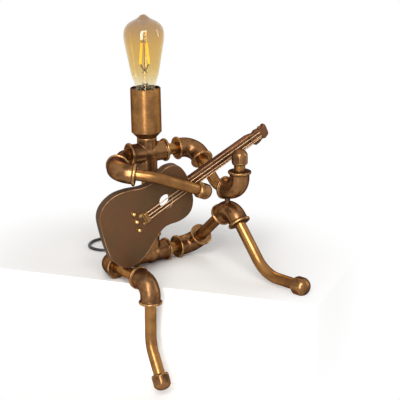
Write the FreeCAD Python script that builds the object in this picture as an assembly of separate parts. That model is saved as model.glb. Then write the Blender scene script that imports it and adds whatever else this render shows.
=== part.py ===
import FreeCAD, Part
import math
import os

# Pipe-fitting lamp: a seated figure that plays a guitar, with a filament bulb as its head.
# Millimetres, +Z up, the figure faces -Y and its left side is +X.
# The origin is on the seat plane, under the middle of the hips.

V = FreeCAD.Vector
SIDE = V(1, 0, 0)
BACK = V(0, 1, 0)
FRONT = V(0, -1, 0)
UP = V(0, 0, 1)
DOWN = V(0, 0, -1)

# Clearances
FIT = 0.05
SEAT_GAP = 0.3

# Cast fittings
BODY_R = 15.75
BEAD_R = 18.5
BEAD_W = 4.4
BEAD_ROUND = 1.3
FITTING_END = 33.3
ELBOW_BEND_R = 22.0
FITTING_BORE_R = 7.5
SOCKET_DEPTH = 13.0
CROSS_BALL_R = 17.2

# Limb tubes and nipples
TUBE_R = 9.0
TUBE_WALL = 1.6
NIPPLE_GAP = 18.0

# Torso pipe
SPINE_R = 10.65
SPINE_WALL = 2.6
SPINE_LENGTH = 99.9
LEAN_ANGLE = 2.08
CHEST_TURN_ANGLE = 7.5

# Domed hexagon caps
HAND_CAP_FLATS = 24.5
HAND_CAP_LENGTH = 25.0
FOOT_CAP_FLATS = 27.0
FOOT_CAP_LENGTH = 26.0
CAP_CHAMFER = 3.0
CAP_WALL = 3.0

# Legs
LEFT_THIGH_RISE_ANGLE = 40.9
LEFT_THIGH_GAP = 69.6
LEFT_SHIN_SPLAY_ANGLE = 3.5
LEFT_FOOT_REACH = 77.5
LEFT_FOOT_TOE_OUT_ANGLE = 7.8
RIGHT_THIGH_GAP = 57.3
RIGHT_SHIN_DROP = 101.5
RIGHT_FOOT_SWING_ANGLE = 29.0
RIGHT_FOOT_REACH = 59.6
SHIN_BEND_R = 60.0

# Left arm, whose hand holds the guitar's neck and is welded to the left knee
HAND_ABOVE_KNEE = 29.779
HAND_AHEAD_OF_KNEE = 24.3
HAND_INSIDE_KNEE = 0.95
LEFT_HAND_TURN_ANGLE = 12.5
LEFT_ARM_BEND_R = 40.0
HAND_NIPPLE_GAP = 10.0
WELD_R = 4.5

# Right arm, which swings forward and round the guitar
RIGHT_ARM_OUT = 10.2
RIGHT_ARM_RUN = 88.3
RIGHT_ARM_SWING_ANGLE = 48.3
RIGHT_ARM_FALL_ANGLE = 1.0
RIGHT_ARM_BEND_R = 18.0
FOREARM_FALL_ANGLE = 6.9
FOREARM_RUN = 66.1
FOREARM_BEND_R = 70.0
FOREARM_END_SWING_ANGLE = 82.7
FOREARM_END_FALL_ANGLE = 21.8
FOREARM_REACH = 88.2

# Head cup
CUP_START = 25.0
CUP_SHOULDER = 34.0
CUP_RIM = 104.8
CUP_R = 24.1
CUP_WALL = 2.4
CUP_FLOOR = 3.0
CUP_STEM_R = 11.5
CUP_STEM_BORE_R = 5.0

# Lamp holder in the cup
HOLDER_R = 19.5
HOLDER_WALL = 2.6
HOLDER_BASE = 12.0
SHELL_R = 14.9
SHELL_WALL = 0.9
HOLDER_TOP_INSET = 3.0
CONTACT_R = 4.0

# Bulb
BULB_CAP_R = 12.9
BULB_CAP_LENGTH = 22.0
BULB_THREADS = 4
BULB_THREAD_RISE = 0.45
BULB_LENGTH = 146.0
BULB_R = 32.0
BULB_NECK_R = 16.6
BULB_TIP_R = 3.2
GLASS_WALL = 0.9
BULB_WIDEST = 30.0
BULB_PIP = 5.0
FILAMENT_R = 1.7
FILAMENT_LENGTH = 33.0
FILAMENT_SPACING = 9.0
STEM_R = 4.6
STEM_HEIGHT = 31.0
WIRE_R = 0.5

# Guitar, measured along its own middle line from the centre of the sound hole
GUITAR_TURN_ANGLE = 10.0
GUITAR_TILT_ANGLE = 28.3
GUITAR_DEPTH = 17.0
GUITAR_FACE_X = -85.0
GUITAR_FACE_Y = -68.0
HOLE_ALONG = 63.6
THIGH_GAP = 0.07
LOWER_END = -124.5
LOWER_AT = -80.0
LOWER_HALF = 60.0
WAIST_AT = -15.0
WAIST_HALF = 37.0
UPPER_AT = 15.0
UPPER_HALF = 43.5
UPPER_END = 46.0
SOUND_HOLE_R = 9.3
NECK_WIDTH = 12.0
NECK_SHEET = 1.5
NECK_END = 168.0
HEAD_LENGTH = 34.0
HEAD_HALF = 9.0
HEAD_FLARE = 11.0
HEAD_DEPTH = 10.0
ROD_R = 2.0
ROD_INSET = 5.0
BRIDGE_AT = -43.3
BRIDGE_LENGTH = 24.0
BRIDGE_WIDTH = 5.5
BRIDGE_HEIGHT = 4.0
NUT_FLATS = 4.6
NUT_HEIGHT = 2.6
NUT_SPACING = 16.0
STRING_R = 0.5
STRING_SPACING = 3.6
STRING_HEIGHT = 2.2
NUT_BAR_AT = 172.0
NUT_BAR_WIDTH = 3.0
BALL_R = 3.6
BALL_SINK = 0.8
BALL_AT = -58.3
BALL_SPACING = 14.6

# Cord, its coil and its plug
CORD_R = 2.5
GROMMET_R = 5.6
GROMMET_FLANGE_R = 7.6
GROMMET_FLANGE = 2.0
RELIEF_LENGTH = 24.0
RELIEF_WALL = 1.2
LEAD_IN = 10.0
COIL_CENTRE = V(38, 105.5, 0)
COIL_START_R = 39.5
COIL_PITCH = 5.5
COIL_TURNS_IN = 3.5
COIL_TURNS = 7.944
COIL_SWELL = 1.2
TIE_THICKNESS = 0.8
TIE_WIDTH = 8.0
TIE_ROUND = 2.0
PLUG_RUN = 34.0
PLUG_ANGLE = 20.0
PLUG_LENGTH = 36.0
PLUG_WIDTH = 35.3
PLUG_HEIGHT = 13.7
PLUG_TAIL_HALF = 5.5
PLUG_BEVEL = 2.0
PIN_R = 2.0
PIN_LENGTH = 19.0
PIN_SPACING = 18.6


def turned(vector, axis, degrees):
    """The vector turned about an axis through the origin."""
    return FreeCAD.Rotation(axis, degrees).multVec(vector)


def unit(vector):
    """A copy of the vector with length 1."""
    copy = V(vector)
    copy.normalize()
    return copy


def along(solid, point, direction):
    """Moves a solid made along +Z so that its base is at a point and it follows a direction."""
    moved = solid.copy()
    moved.Placement = FreeCAD.Placement(point, FreeCAD.Rotation(UP, direction)).multiply(moved.Placement)
    return moved


def level_along(solid, point, direction):
    """Like along, but the solid's X axis stays level."""
    level = direction.cross(UP)
    if level.Length < 1e-6:
        level = SIDE
    turn = FreeCAD.Rotation(unit(level), direction.cross(unit(level)), direction, "ZXY")
    moved = solid.copy()
    moved.Placement = FreeCAD.Placement(point, turn).multiply(moved.Placement)
    return moved


def rod(point, direction, radius, length):
    """A round bar."""
    return Part.makeCylinder(radius, length, point, direction)


def ring(point, direction, outer, inner, length):
    """A round bar with a bore."""
    return rod(point, direction, outer, length).cut(rod(point, direction, inner, length))


def revolved(profile):
    """Turns an outline of (radius, height) corners about +Z."""
    corners = [V(radius, 0, height) for radius, height in profile]
    face = Part.Face(Part.makePolygon(corners + corners[:1]))
    return face.revolve(V(), UP, 360)


def run_edges(points, radii):
    """Straight runs joined by tangent arcs, one radius at each inner point."""
    edges = []
    start = points[0]
    for index, radius in enumerate(radii, 1):
        corner = points[index]
        into = unit(corner - points[index - 1])
        away = unit(points[index + 1] - corner)
        half = into.getAngle(away) / 2
        reach = radius * math.tan(half)
        first = corner - into * reach
        last = corner + away * reach
        middle = corner + unit(away - into) * (radius / math.cos(half) - radius)
        if (first - start).Length > 1e-4:
            edges.append(Part.LineSegment(start, first).toShape())
        edges.append(Part.Arc(first, middle, last).toShape())
        start = last
    edges.append(Part.LineSegment(start, points[-1]).toShape())
    return edges


def swept(edges, direction, radius):
    """A round solid along a chain of edges."""
    start = edges[0].valueAt(edges[0].FirstParameter)
    circle = Part.Wire(Part.makeCircle(radius, start, direction))
    return Part.Wire(edges).makePipeShell([circle], True, False)


def bar(points, radii, radius):
    """A round solid along straight runs and arcs."""
    return swept(run_edges(points, radii), points[1] - points[0], radius)


def tube(points, radii):
    """A limb tube along straight runs and arcs, with its bore."""
    return bar(points, radii, TUBE_R).cut(bar(points, radii, TUBE_R - TUBE_WALL))


def mouth(centre, direction, inside=0.0):
    """A point on a fitting's mouth, or inside it."""
    return centre + direction * (FITTING_END - inside)


def bead(centre, direction):
    """The rounded band at a fitting's mouth."""
    half = BEAD_W / 2
    band = Part.makeCylinder(BEAD_R, BEAD_W)
    rims = [edge for edge in band.Edges if len(edge.Vertexes) == 1]
    band = band.makeFillet(BEAD_ROUND, rims)
    return along(band, mouth(centre, direction, 2 * half), direction)


def socket_cut(centre, direction, radius):
    """The space for a pipe in a fitting's mouth."""
    return rod(mouth(centre, direction, SOCKET_DEPTH), direction, radius + FIT, SOCKET_DEPTH)


def elbow(centre, first, second):
    """A ninety degree elbow between two mouths."""
    points = [mouth(centre, first), centre, mouth(centre, second)]
    body = bar(points, [ELBOW_BEND_R], BODY_R)
    body = body.fuse([bead(centre, first), bead(centre, second)])
    body = body.cut(bar(points, [ELBOW_BEND_R], FITTING_BORE_R))
    return body.cut([socket_cut(centre, way, TUBE_R) for way in (first, second)])


def branched(centre, ways, plain_ways=()):
    """A tee or cross: a dict of direction names to (direction, pipe radius)."""
    ball = Part.makeSphere(CROSS_BALL_R, centre, ways[0][0])
    arms = [rod(centre, way, BODY_R, FITTING_END) for way, pipe in ways]
    arms += [rod(centre, way, BODY_R, length) for way, length in plain_ways]
    body = ball.fuse(arms + [bead(centre, way) for way, pipe in ways])
    body = body.cut([rod(centre, way, FITTING_BORE_R, FITTING_END) for way, pipe in ways])
    body = body.cut([rod(centre, way, FITTING_BORE_R, length) for way, length in plain_ways])
    return body.cut([socket_cut(centre, way, pipe) for way, pipe in ways])


def straight_pipe(start_centre, end_centre, radius, wall):
    """A pipe between the sockets of two fittings that face each other."""
    way = unit(end_centre - start_centre)
    start = mouth(start_centre, way, SOCKET_DEPTH - SEAT_GAP)
    length = (end_centre - start_centre).Length - 2 * (FITTING_END - SOCKET_DEPTH + SEAT_GAP)
    return ring(start, way, radius, radius - wall, length)


def cap(middle, direction, flats, length):
    """A domed hexagon cap on a tube's end, with its middle point on the tube's line."""
    half = flats / 2
    round_r = half * 1.08
    dome = length * 0.46
    profile = Part.makePolygon([V(0, 0, 0), V(half * 0.86, 0, 0), V(round_r, 0, CAP_CHAMFER),
                                V(round_r, 0, length - dome)])
    crown = Part.Arc(V(round_r, 0, length - dome), V(round_r * 0.74, 0, length - dome * 0.31),
                     V(0, 0, length)).toShape()
    closing = Part.LineSegment(V(0, 0, length), V(0, 0, 0)).toShape()
    outline = Part.Wire(profile.Edges + [crown, closing])
    turned_form = Part.Face(outline).revolve(V(), UP, 360)
    corners = [turned(V(half / math.cos(math.pi / 6), 0, 0), UP, 60 * n) for n in range(7)]
    prism = Part.Face(Part.makePolygon(corners)).extrude(UP * length)
    solid = turned_form.common(prism)
    solid = solid.cut(Part.makeCylinder(TUBE_R + FIT, length - dome * 0.5 - CAP_WALL))
    return level_along(solid, middle - direction * length / 2, direction)


def cap_seat(middle, direction, length):
    """Where a tube's end stops inside its cap."""
    dome = length * 0.46
    return middle + direction * (length / 2 - dome * 0.5 - CAP_WALL - SEAT_GAP)


# Hips
HIPS = V(0, 0, BEAD_R)
SPINE_WAY = turned(UP, SIDE, -LEAN_ANGLE)
HIP_STEP = 2 * FITTING_END + NIPPLE_GAP
LEFT_HIP = HIPS + SIDE * HIP_STEP
RIGHT_HIP = HIPS - SIDE * HIP_STEP

# Left leg
LEFT_THIGH_WAY = turned(FRONT, SIDE, -LEFT_THIGH_RISE_ANGLE)
LEFT_KNEE = LEFT_HIP + LEFT_THIGH_WAY * (2 * FITTING_END + LEFT_THIGH_GAP)
LEFT_SHIN_WAY = turned(turned(LEFT_THIGH_WAY, SIDE, 90), LEFT_THIGH_WAY, LEFT_SHIN_SPLAY_ANGLE)
FOOT_HEIGHT = FOOT_CAP_FLATS / 2
LEFT_ANKLE = LEFT_KNEE + LEFT_SHIN_WAY * ((FOOT_HEIGHT - LEFT_KNEE.z) / LEFT_SHIN_WAY.z)
LEFT_FOOT_WAY = turned(FRONT, UP, LEFT_FOOT_TOE_OUT_ANGLE)
LEFT_FOOT = LEFT_ANKLE + LEFT_FOOT_WAY * LEFT_FOOT_REACH

# Right leg, whose shin hangs over the seat's edge
RIGHT_KNEE = RIGHT_HIP + FRONT * (2 * FITTING_END + RIGHT_THIGH_GAP)
RIGHT_ANKLE = RIGHT_KNEE + DOWN * RIGHT_SHIN_DROP
RIGHT_FOOT_WAY = turned(DOWN, SIDE, -RIGHT_FOOT_SWING_ANGLE)
RIGHT_FOOT = RIGHT_ANKLE + RIGHT_FOOT_WAY * RIGHT_FOOT_REACH

# Chest and left arm
CHEST = HIPS + SPINE_WAY * (2 * FITTING_END + SPINE_LENGTH)
CHEST_SIDE = turned(SIDE, UP, -CHEST_TURN_ANGLE)
LEFT_SHOULDER = CHEST + CHEST_SIDE * HIP_STEP
LEFT_HAND = LEFT_KNEE + V(-HAND_INSIDE_KNEE, -HAND_AHEAD_OF_KNEE, HAND_ABOVE_KNEE)
LEFT_HAND_WAY = turned(FRONT, UP, LEFT_HAND_TURN_ANGLE)
# The arm leaves the shoulder's elbow square to the shoulder line, and meets the hand's line at its bend
LEFT_HAND_RUN = (LEFT_HAND - LEFT_SHOULDER).dot(CHEST_SIDE) / LEFT_HAND_WAY.dot(CHEST_SIDE)
LEFT_ARM_CORNER = LEFT_HAND - LEFT_HAND_WAY * LEFT_HAND_RUN
LEFT_ARM_WAY = unit(LEFT_ARM_CORNER - LEFT_SHOULDER)

# Right arm
RIGHT_ARM_CORNER = CHEST - CHEST_SIDE * (FITTING_END + RIGHT_ARM_OUT)
RIGHT_ARM_FLAT = turned(SIDE * -1, UP, RIGHT_ARM_SWING_ANGLE)
RIGHT_ARM_HINGE = RIGHT_ARM_FLAT.cross(UP)
RIGHT_ARM_WAY = turned(RIGHT_ARM_FLAT, RIGHT_ARM_HINGE, -RIGHT_ARM_FALL_ANGLE)
RIGHT_SHOULDER = RIGHT_ARM_CORNER + RIGHT_ARM_WAY * RIGHT_ARM_RUN
FOREARM_WAY = turned(UP.cross(RIGHT_ARM_WAY), RIGHT_ARM_WAY, -FOREARM_FALL_ANGLE)
FOREARM_WAY = unit(FOREARM_WAY)
FOREARM_CORNER = RIGHT_SHOULDER + FOREARM_WAY * FOREARM_RUN
FOREARM_END_FLAT = turned(FRONT, UP, FOREARM_END_SWING_ANGLE)
FOREARM_END_WAY = turned(FOREARM_END_FLAT, FOREARM_END_FLAT.cross(UP), -FOREARM_END_FALL_ANGLE)
RIGHT_HAND = FOREARM_CORNER + FOREARM_END_WAY * FOREARM_REACH

# Guitar axes: along the neck, across it, and out of its face
FACE_WAY = turned(FRONT, UP, -GUITAR_TURN_ANGLE)
FACE_SIDE = turned(SIDE, UP, -GUITAR_TURN_ANGLE)
NECK_WAY = turned(FACE_SIDE, FACE_WAY, GUITAR_TILT_ANGLE)
CROSS_WAY = NECK_WAY.cross(FACE_WAY) * -1
FACE_POINT = V(GUITAR_FACE_X, GUITAR_FACE_Y, 0)


def pelvis_tee():
    """The hips: a tee with the torso pipe on top and a hole for the cord behind."""
    ways = [(SIDE, TUBE_R), (SIDE * -1, TUBE_R), (SPINE_WAY, SPINE_R)]
    body = branched(HIPS, ways)
    return body.cut(rod(HIPS, BACK, GROMMET_R + FIT, BEAD_R * 2))


RELIEF_TIP = BODY_R + GROMMET_FLANGE + RELIEF_LENGTH


def grommet():
    """The rubber bush at the cord's exit, shaped to the round back of the tee."""
    start = FITTING_BORE_R + SEAT_GAP
    length = BODY_R - start + GROMMET_FLANGE + 1
    body = rod(HIPS + BACK * start, BACK, GROMMET_R, length)
    flange_at = HIPS + BACK * (BODY_R - 1)
    body = body.fuse(rod(flange_at, BACK, GROMMET_FLANGE_R, GROMMET_FLANGE + 1))
    relief_at = HIPS + BACK * (BODY_R + GROMMET_FLANGE)
    relief = Part.makeCone(GROMMET_R, CORD_R + RELIEF_WALL, RELIEF_LENGTH, relief_at, BACK)
    body = body.fuse(relief)
    tee = Part.makeSphere(CROSS_BALL_R + FIT, HIPS, SIDE).fuse(rod(HIPS, SPINE_WAY, BODY_R + FIT, FITTING_END))
    shell = tee.cut(rod(HIPS, BACK, GROMMET_R, BEAD_R * 2))
    body = body.cut(shell)
    return body.cut(rod(HIPS + BACK * (RELIEF_TIP - LEAD_IN), BACK, CORD_R, LEAD_IN))


def torso_pipe():
    """The pipe from the hips to the chest."""
    return straight_pipe(HIPS, CHEST, SPINE_R, SPINE_WALL)


def chest_cross():
    """The chest: a cross with the two shoulders, the torso and the neck of the head cup."""
    ways = [(CHEST_SIDE, TUBE_R), (CHEST_SIDE * -1, TUBE_R), (SPINE_WAY * -1, SPINE_R)]
    top = CUP_START - SEAT_GAP / 2
    body = branched(CHEST, ways, [(SPINE_WAY, top)])
    stem_space = rod(CHEST + SPINE_WAY * (top - 10), SPINE_WAY, CUP_STEM_R + FIT, 10)
    return body.cut(stem_space)


def head_cup():
    """The bell that carries the bulb, screwed into the chest by a short stem."""
    inner = CUP_R - CUP_WALL
    profile = [(CUP_STEM_BORE_R, CUP_START - 9), (CUP_STEM_R, CUP_START - 9),
               (CUP_STEM_R, CUP_START + SEAT_GAP / 2), (BODY_R, CUP_START + SEAT_GAP / 2),
               (CUP_R, CUP_SHOULDER), (CUP_R, CUP_RIM - 0.8), (CUP_R - 0.8, CUP_RIM),
               (inner, CUP_RIM), (inner, CUP_SHOULDER + CUP_FLOOR), (CUP_STEM_BORE_R, CUP_SHOULDER + CUP_FLOOR)]
    return along(revolved(profile), CHEST, SPINE_WAY)


HOLDER_START = CUP_SHOULDER + CUP_FLOOR
HOLDER_TOP = CUP_RIM - HOLDER_TOP_INSET
BULB_START = CUP_RIM - 4.0 - BULB_CAP_LENGTH - 2.8
BULB_GLASS_START = BULB_START + 2.8 + BULB_CAP_LENGTH


def lamp_holder():
    """The moulded body of the holder, standing on the cup's floor."""
    inner = HOLDER_R - HOLDER_WALL
    floor = BULB_START - 4
    profile = [(CONTACT_R + FIT, HOLDER_START), (HOLDER_R, HOLDER_START), (HOLDER_R, HOLDER_TOP),
               (inner, HOLDER_TOP), (inner, floor), (CONTACT_R + FIT, floor)]
    return along(revolved(profile), CHEST, SPINE_WAY)


def screw_shell():
    """The brass shell that takes the bulb's screw cap, standing on the holder's floor."""
    floor = BULB_START - 4
    top = HOLDER_TOP - 0.6
    lip = HOLDER_R - HOLDER_WALL - FIT
    profile = [(SHELL_R, floor), (SHELL_R, top - SHELL_WALL), (lip, top - SHELL_WALL), (lip, top),
               (SHELL_R - SHELL_WALL, top), (SHELL_R - SHELL_WALL, floor + SHELL_WALL),
               (CONTACT_R + 2.5, floor + SHELL_WALL), (CONTACT_R + 2.5, floor)]
    return along(revolved(profile), CHEST, SPINE_WAY)


def holder_contact():
    """The centre contact under the bulb."""
    height = BULB_START - SEAT_GAP - HOLDER_START
    return rod(CHEST + SPINE_WAY * HOLDER_START, SPINE_WAY, CONTACT_R, height)


def bulb_cap():
    """The bulb's screw cap with its rolled threads."""
    base = BULB_START + 2.8
    top = BULB_GLASS_START
    pitch = (BULB_CAP_LENGTH - 5.0) / BULB_THREADS
    outer = [(4.6, base - 1.2), (9.5, base), (BULB_CAP_R - BULB_THREAD_RISE, base + 1.5)]
    for turn in range(BULB_THREADS):
        foot = base + 1.5 + turn * pitch
        outer.append((BULB_CAP_R + BULB_THREAD_RISE, foot + pitch / 2))
        outer.append((BULB_CAP_R - BULB_THREAD_RISE, foot + pitch))
    outer.append((BULB_CAP_R, top))
    inner = [(BULB_CAP_R - 1.2, top), (BULB_CAP_R - 1.2, base + 2), (4.6, base + 0.4)]
    return along(revolved(outer + inner), CHEST, SPINE_WAY)


def bulb_contact():
    """The insulator and centre contact at the bulb's foot."""
    base = BULB_START + 2.8
    profile = [(0, BULB_START), (3.4, BULB_START), (4.6, base - 1.2), (4.6, base + 0.4), (0, base + 0.4)]
    return along(revolved(profile), CHEST, SPINE_WAY)


def bulb_wall(inset):
    """The bulb's half outline from its foot to the root of its pip, drawn in along its normals."""
    foot = BULB_GLASS_START
    top = BULB_START + BULB_LENGTH
    widest = top - BULB_WIDEST
    # Radius, height and the outline's normal in degrees above level
    places = [(BULB_CAP_R - 1.6, foot, 0), (BULB_NECK_R, foot + 5, -20), (BULB_NECK_R + 1.2, foot + 14, -8),
              (BULB_R * 0.82, widest - 38, -15), (BULB_R, widest, 0), (BULB_R * 0.86, widest + 14.5, 43),
              (BULB_R * 0.5, widest + 23, 72), (BULB_TIP_R + 2.2, top - BULB_PIP, 62)]
    points = []
    for radius, height, normal in places:
        lean = math.radians(normal)
        points.append(V(radius - inset * math.cos(lean), 0, height - inset * math.sin(lean)))
    points[0].z = foot
    body = Part.BSplineCurve()
    body.interpolate(points[2:])
    return Part.makePolygon(points[:3]).Edges + [body.toShape()], points[-1]


def bulb_form(inset, tip_edges):
    """A solid inside the bulb's outline, closed at the top by the given edges down to the axis."""
    wall, root = bulb_wall(inset)
    foot = wall[0].valueAt(wall[0].FirstParameter)
    edges = wall + tip_edges(root)
    crown = edges[-1].valueAt(edges[-1].LastParameter)
    closing = Part.makePolygon([crown, V(0, 0, foot.z), foot]).Edges
    return Part.Face(Part.Wire(edges + closing)).revolve(V(), UP, 360)


def pip_edges(root):
    """The pip's outline: a neck and a ball end."""
    top = BULB_START + BULB_LENGTH
    neck = V(BULB_TIP_R, 0, top - BULB_TIP_R)
    middle = V(BULB_TIP_R * math.sqrt(0.5), 0, neck.z + BULB_TIP_R * math.sqrt(0.5))
    return [Part.LineSegment(root, neck).toShape(), Part.Arc(neck, middle, V(0, 0, top)).toShape()]


def flat_edges(root):
    """A flat end."""
    return [Part.LineSegment(root, V(0, 0, root.z)).toShape()]


def bulb_glass():
    """The clear bulb, open at its foot where it is cemented into the cap."""
    glass = bulb_form(0, pip_edges).cut(bulb_form(GLASS_WALL, flat_edges))
    return along(glass, CHEST, SPINE_WAY)


FILAMENT_FOOT = BULB_GLASS_START + STEM_HEIGHT + 8.0


def bulb_stem():
    """The glass stem that carries the filaments."""
    foot = BULB_START + 2.8 + 2.3
    neck = BULB_GLASS_START + 6
    tip = BULB_GLASS_START + STEM_HEIGHT
    profile = [(0, foot), (BULB_CAP_R - 1.6, foot), (BULB_CAP_R - 2.6, neck - 8), (STEM_R, neck + 4),
               (STEM_R * 0.8, tip - 2), (STEM_R * 0.35, tip), (0, tip)]
    return along(revolved(profile), CHEST, SPINE_WAY)


def filament_place(side):
    """The line of one filament, on the left or right of the bulb's middle."""
    return CHEST + CHEST_SIDE * (side * FILAMENT_SPACING / 2)


def bulb_filaments():
    """Two straight filaments that stand side by side."""
    lines = [filament_place(side) + SPINE_WAY * FILAMENT_FOOT for side in (-1, 1)]
    return Part.makeCompound([rod(line, SPINE_WAY, FILAMENT_R, FILAMENT_LENGTH) for line in lines])


def bulb_wires():
    """The support wires: two legs from the stem to the filaments, and the loop over their tops."""
    tip = CHEST + SPINE_WAY * (BULB_GLASS_START + STEM_HEIGHT)
    wires = []
    for side in (-1, 1):
        foot = filament_place(side) + SPINE_WAY * (FILAMENT_FOOT)
        start = tip + CHEST_SIDE * (side * STEM_R * 0.2)
        wires.append(rod(start, foot - start, WIRE_R, (foot - start).Length))
    left_top, right_top = [filament_place(side) + SPINE_WAY * (FILAMENT_FOOT + FILAMENT_LENGTH)
                           for side in (-1, 1)]
    peak = CHEST + SPINE_WAY * (FILAMENT_FOOT + FILAMENT_LENGTH + 4)
    for top in (left_top, right_top):
        wires.append(rod(top, peak - top, WIRE_R, (peak - top).Length))
    wires.append(rod(tip, SPINE_WAY, WIRE_R, (peak - tip).Length))
    for point in (left_top, right_top, peak):
        wires.append(Part.makeSphere(WIRE_R, point))
    solid = wires[0].fuse(wires[1:])
    return solid.cut([bulb_filaments(), bulb_stem()])


def guitar_outline():
    """The guitar's closed outline, one smooth curve through its bouts and its waist."""
    upper = [(LOWER_END + 4, LOWER_HALF * 0.52), (LOWER_END + 19, LOWER_HALF * 0.86), (LOWER_AT, LOWER_HALF),
             ((LOWER_AT + WAIST_AT) / 2, (LOWER_HALF + WAIST_HALF) / 2 + 1), (WAIST_AT, WAIST_HALF),
             (UPPER_AT, UPPER_HALF), (UPPER_END - 11, UPPER_HALF * 0.82), (UPPER_END - 2, UPPER_HALF * 0.42)]
    points = [V(LOWER_END, 0, 0)] + [V(x, y, 0) for x, y in upper]
    points += [V(UPPER_END, 0, 0)] + [V(x, -y, 0) for x, y in reversed(upper)]
    curve = Part.BSplineCurve()
    curve.interpolate(Points=points, PeriodicFlag=True)
    return Part.Wire(curve.toShape())


def guitar_block():
    """The closed block inside the guitar's outline."""
    return Part.Face(guitar_outline()).extrude(V(0, 0, -GUITAR_DEPTH))


def guitar_placement(hole):
    """The place of a piece made flat, with X along the neck, Y across and Z out of the face."""
    matrix = FreeCAD.Matrix(NECK_WAY.x, CROSS_WAY.x, FACE_WAY.x, hole.x,
                            NECK_WAY.y, CROSS_WAY.y, FACE_WAY.y, hole.y,
                            NECK_WAY.z, CROSS_WAY.z, FACE_WAY.z, hole.z, 0, 0, 0, 1)
    return FreeCAD.Placement(matrix)


def lowered_hole():
    """The sound hole's centre once the guitar is lowered until it rests on the right thigh."""
    thigh = rod(RIGHT_HIP, FRONT, TUBE_R, (RIGHT_KNEE - RIGHT_HIP).Length)
    block = guitar_block()
    hole = FACE_POINT + FACE_SIDE * HOLE_ALONG + UP * (RIGHT_HIP.z + 3 * LOWER_HALF)
    gap = LOWER_HALF
    while gap > THIGH_GAP:
        block.Placement = guitar_placement(hole)
        gap = block.distToShape(thigh)[0]
        hole = hole + DOWN * max(gap - THIGH_GAP / 2, 0)
    return hole


HOLE = lowered_hole()


def placed_on_guitar(solid):
    """Moves a piece made flat to its place on the guitar."""
    moved = solid.copy()
    moved.Placement = guitar_placement(HOLE).multiply(moved.Placement)
    return moved


def guitar_body():
    """The guitar's body: a thick board with a sound hole that goes right through."""
    hole = Part.makeCylinder(SOUND_HOLE_R, 2 * GUITAR_DEPTH, V(0, 0, -1.5 * GUITAR_DEPTH))
    return placed_on_guitar(guitar_block().cut(hole))



def guitar_neck():
    """The neck: a square-edged tube from the body's rim to the head."""
    half = NECK_WIDTH / 2
    start = UPPER_END - 1.5
    outer = Part.makeBox(NECK_END - start, NECK_WIDTH, GUITAR_DEPTH, V(start, -half, -GUITAR_DEPTH))
    inner = Part.makeBox(NECK_END - start, NECK_WIDTH - 2 * NECK_SHEET, GUITAR_DEPTH - 2 * NECK_SHEET,
                         V(start, -half + NECK_SHEET, -GUITAR_DEPTH + NECK_SHEET))
    neck = outer.cut(inner)
    return placed_on_guitar(neck.cut(guitar_block()))


def guitar_head():
    """The flared head plate with a step on each side."""
    start = NECK_END
    end = NECK_END + HEAD_LENGTH
    half = [(start, HEAD_HALF - 2), (start + 2, HEAD_HALF), (start + 11, HEAD_HALF),
            (start + 16, HEAD_HALF - 2), (end - 9, HEAD_FLARE), (end - 2, HEAD_FLARE - 0.8)]
    upper = [V(x, y, 0) for x, y in half]
    lower = [V(x, -y, 0) for x, y in reversed(half)]
    tip = Part.Arc(upper[-1], V(end, 0, 0), lower[0]).toShape()
    sides = Part.makePolygon(upper).Edges + Part.makePolygon(lower + upper[:1]).Edges
    outline = Part.Wire(Part.__sortEdges__(sides + [tip]))
    return placed_on_guitar(Part.Face(outline).extrude(V(0, 0, -HEAD_DEPTH)))


def neck_rod():
    """The slim threaded rod along the lower side of the neck."""
    across = -NECK_WIDTH / 2 - ROD_R - SEAT_GAP / 2
    start = UPPER_END - 3.0
    body = Part.makeCylinder(ROD_R, NECK_END - start, V(start, across, -ROD_INSET), V(1, 0, 0))
    return placed_on_guitar(body.cut(guitar_block()))


STRING_ROWS = [-STRING_SPACING, 0, STRING_SPACING]


def guitar_strings(clearance=0.0):
    """Three strings from the bridge to the nut."""
    start = BRIDGE_AT - BRIDGE_WIDTH / 2 + 1
    end = NUT_BAR_AT + NUT_BAR_WIDTH - 0.6
    wires = [Part.makeCylinder(STRING_R + clearance, end - start, V(start, row, STRING_HEIGHT), V(1, 0, 0))
             for row in STRING_ROWS]
    return placed_on_guitar(Part.makeCompound(wires))


def guitar_bridge():
    """The bridge bar on the face, which holds the lower ends of the strings."""
    corner = V(BRIDGE_AT - BRIDGE_WIDTH / 2, -BRIDGE_LENGTH / 2, 0)
    block = Part.makeBox(BRIDGE_WIDTH, BRIDGE_LENGTH, BRIDGE_HEIGHT, corner)
    long_edges = [edge for edge in block.Edges if edge.BoundBox.YLength > BRIDGE_LENGTH / 2
                  and edge.BoundBox.ZMin > BRIDGE_HEIGHT / 2]
    block = block.makeFillet(1.2, long_edges)
    return placed_on_guitar(block).cut(guitar_strings(FIT))


def nut_bar():
    """The small bar on the head that holds the upper ends of the strings."""
    width = NECK_WIDTH + 1
    corner = V(NUT_BAR_AT, -width / 2, 0)
    block = Part.makeBox(NUT_BAR_WIDTH, width, BRIDGE_HEIGHT, corner)
    return placed_on_guitar(block).cut(guitar_strings(FIT))


def bridge_nuts():
    """Two small hexagon nuts beside the strings, on the bridge."""
    nuts = []
    for row in (-NUT_SPACING / 2, NUT_SPACING / 2):
        centre = V(BRIDGE_AT, row, BRIDGE_HEIGHT)
        corners = [centre + turned(V(NUT_FLATS / 2 / math.cos(math.pi / 6), 0, 0), UP, 60 * n)
                   for n in range(7)]
        nuts.append(Part.Face(Part.makePolygon(corners)).extrude(UP * NUT_HEIGHT))
    return placed_on_guitar(Part.makeCompound(nuts))


def guitar_balls():
    """Three brass balls in a row on the face, each with a flat seat."""
    balls = []
    for row in (-1, 0, 1):
        centre = V(BALL_AT, row * BALL_SPACING, BALL_R - BALL_SINK)
        ball = Part.makeSphere(BALL_R, centre)
        balls.append(ball.cut(Part.makeBox(20, 20, 20, V(centre.x - 10, centre.y - 10, -20))))
    return placed_on_guitar(Part.makeCompound(balls))


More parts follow.
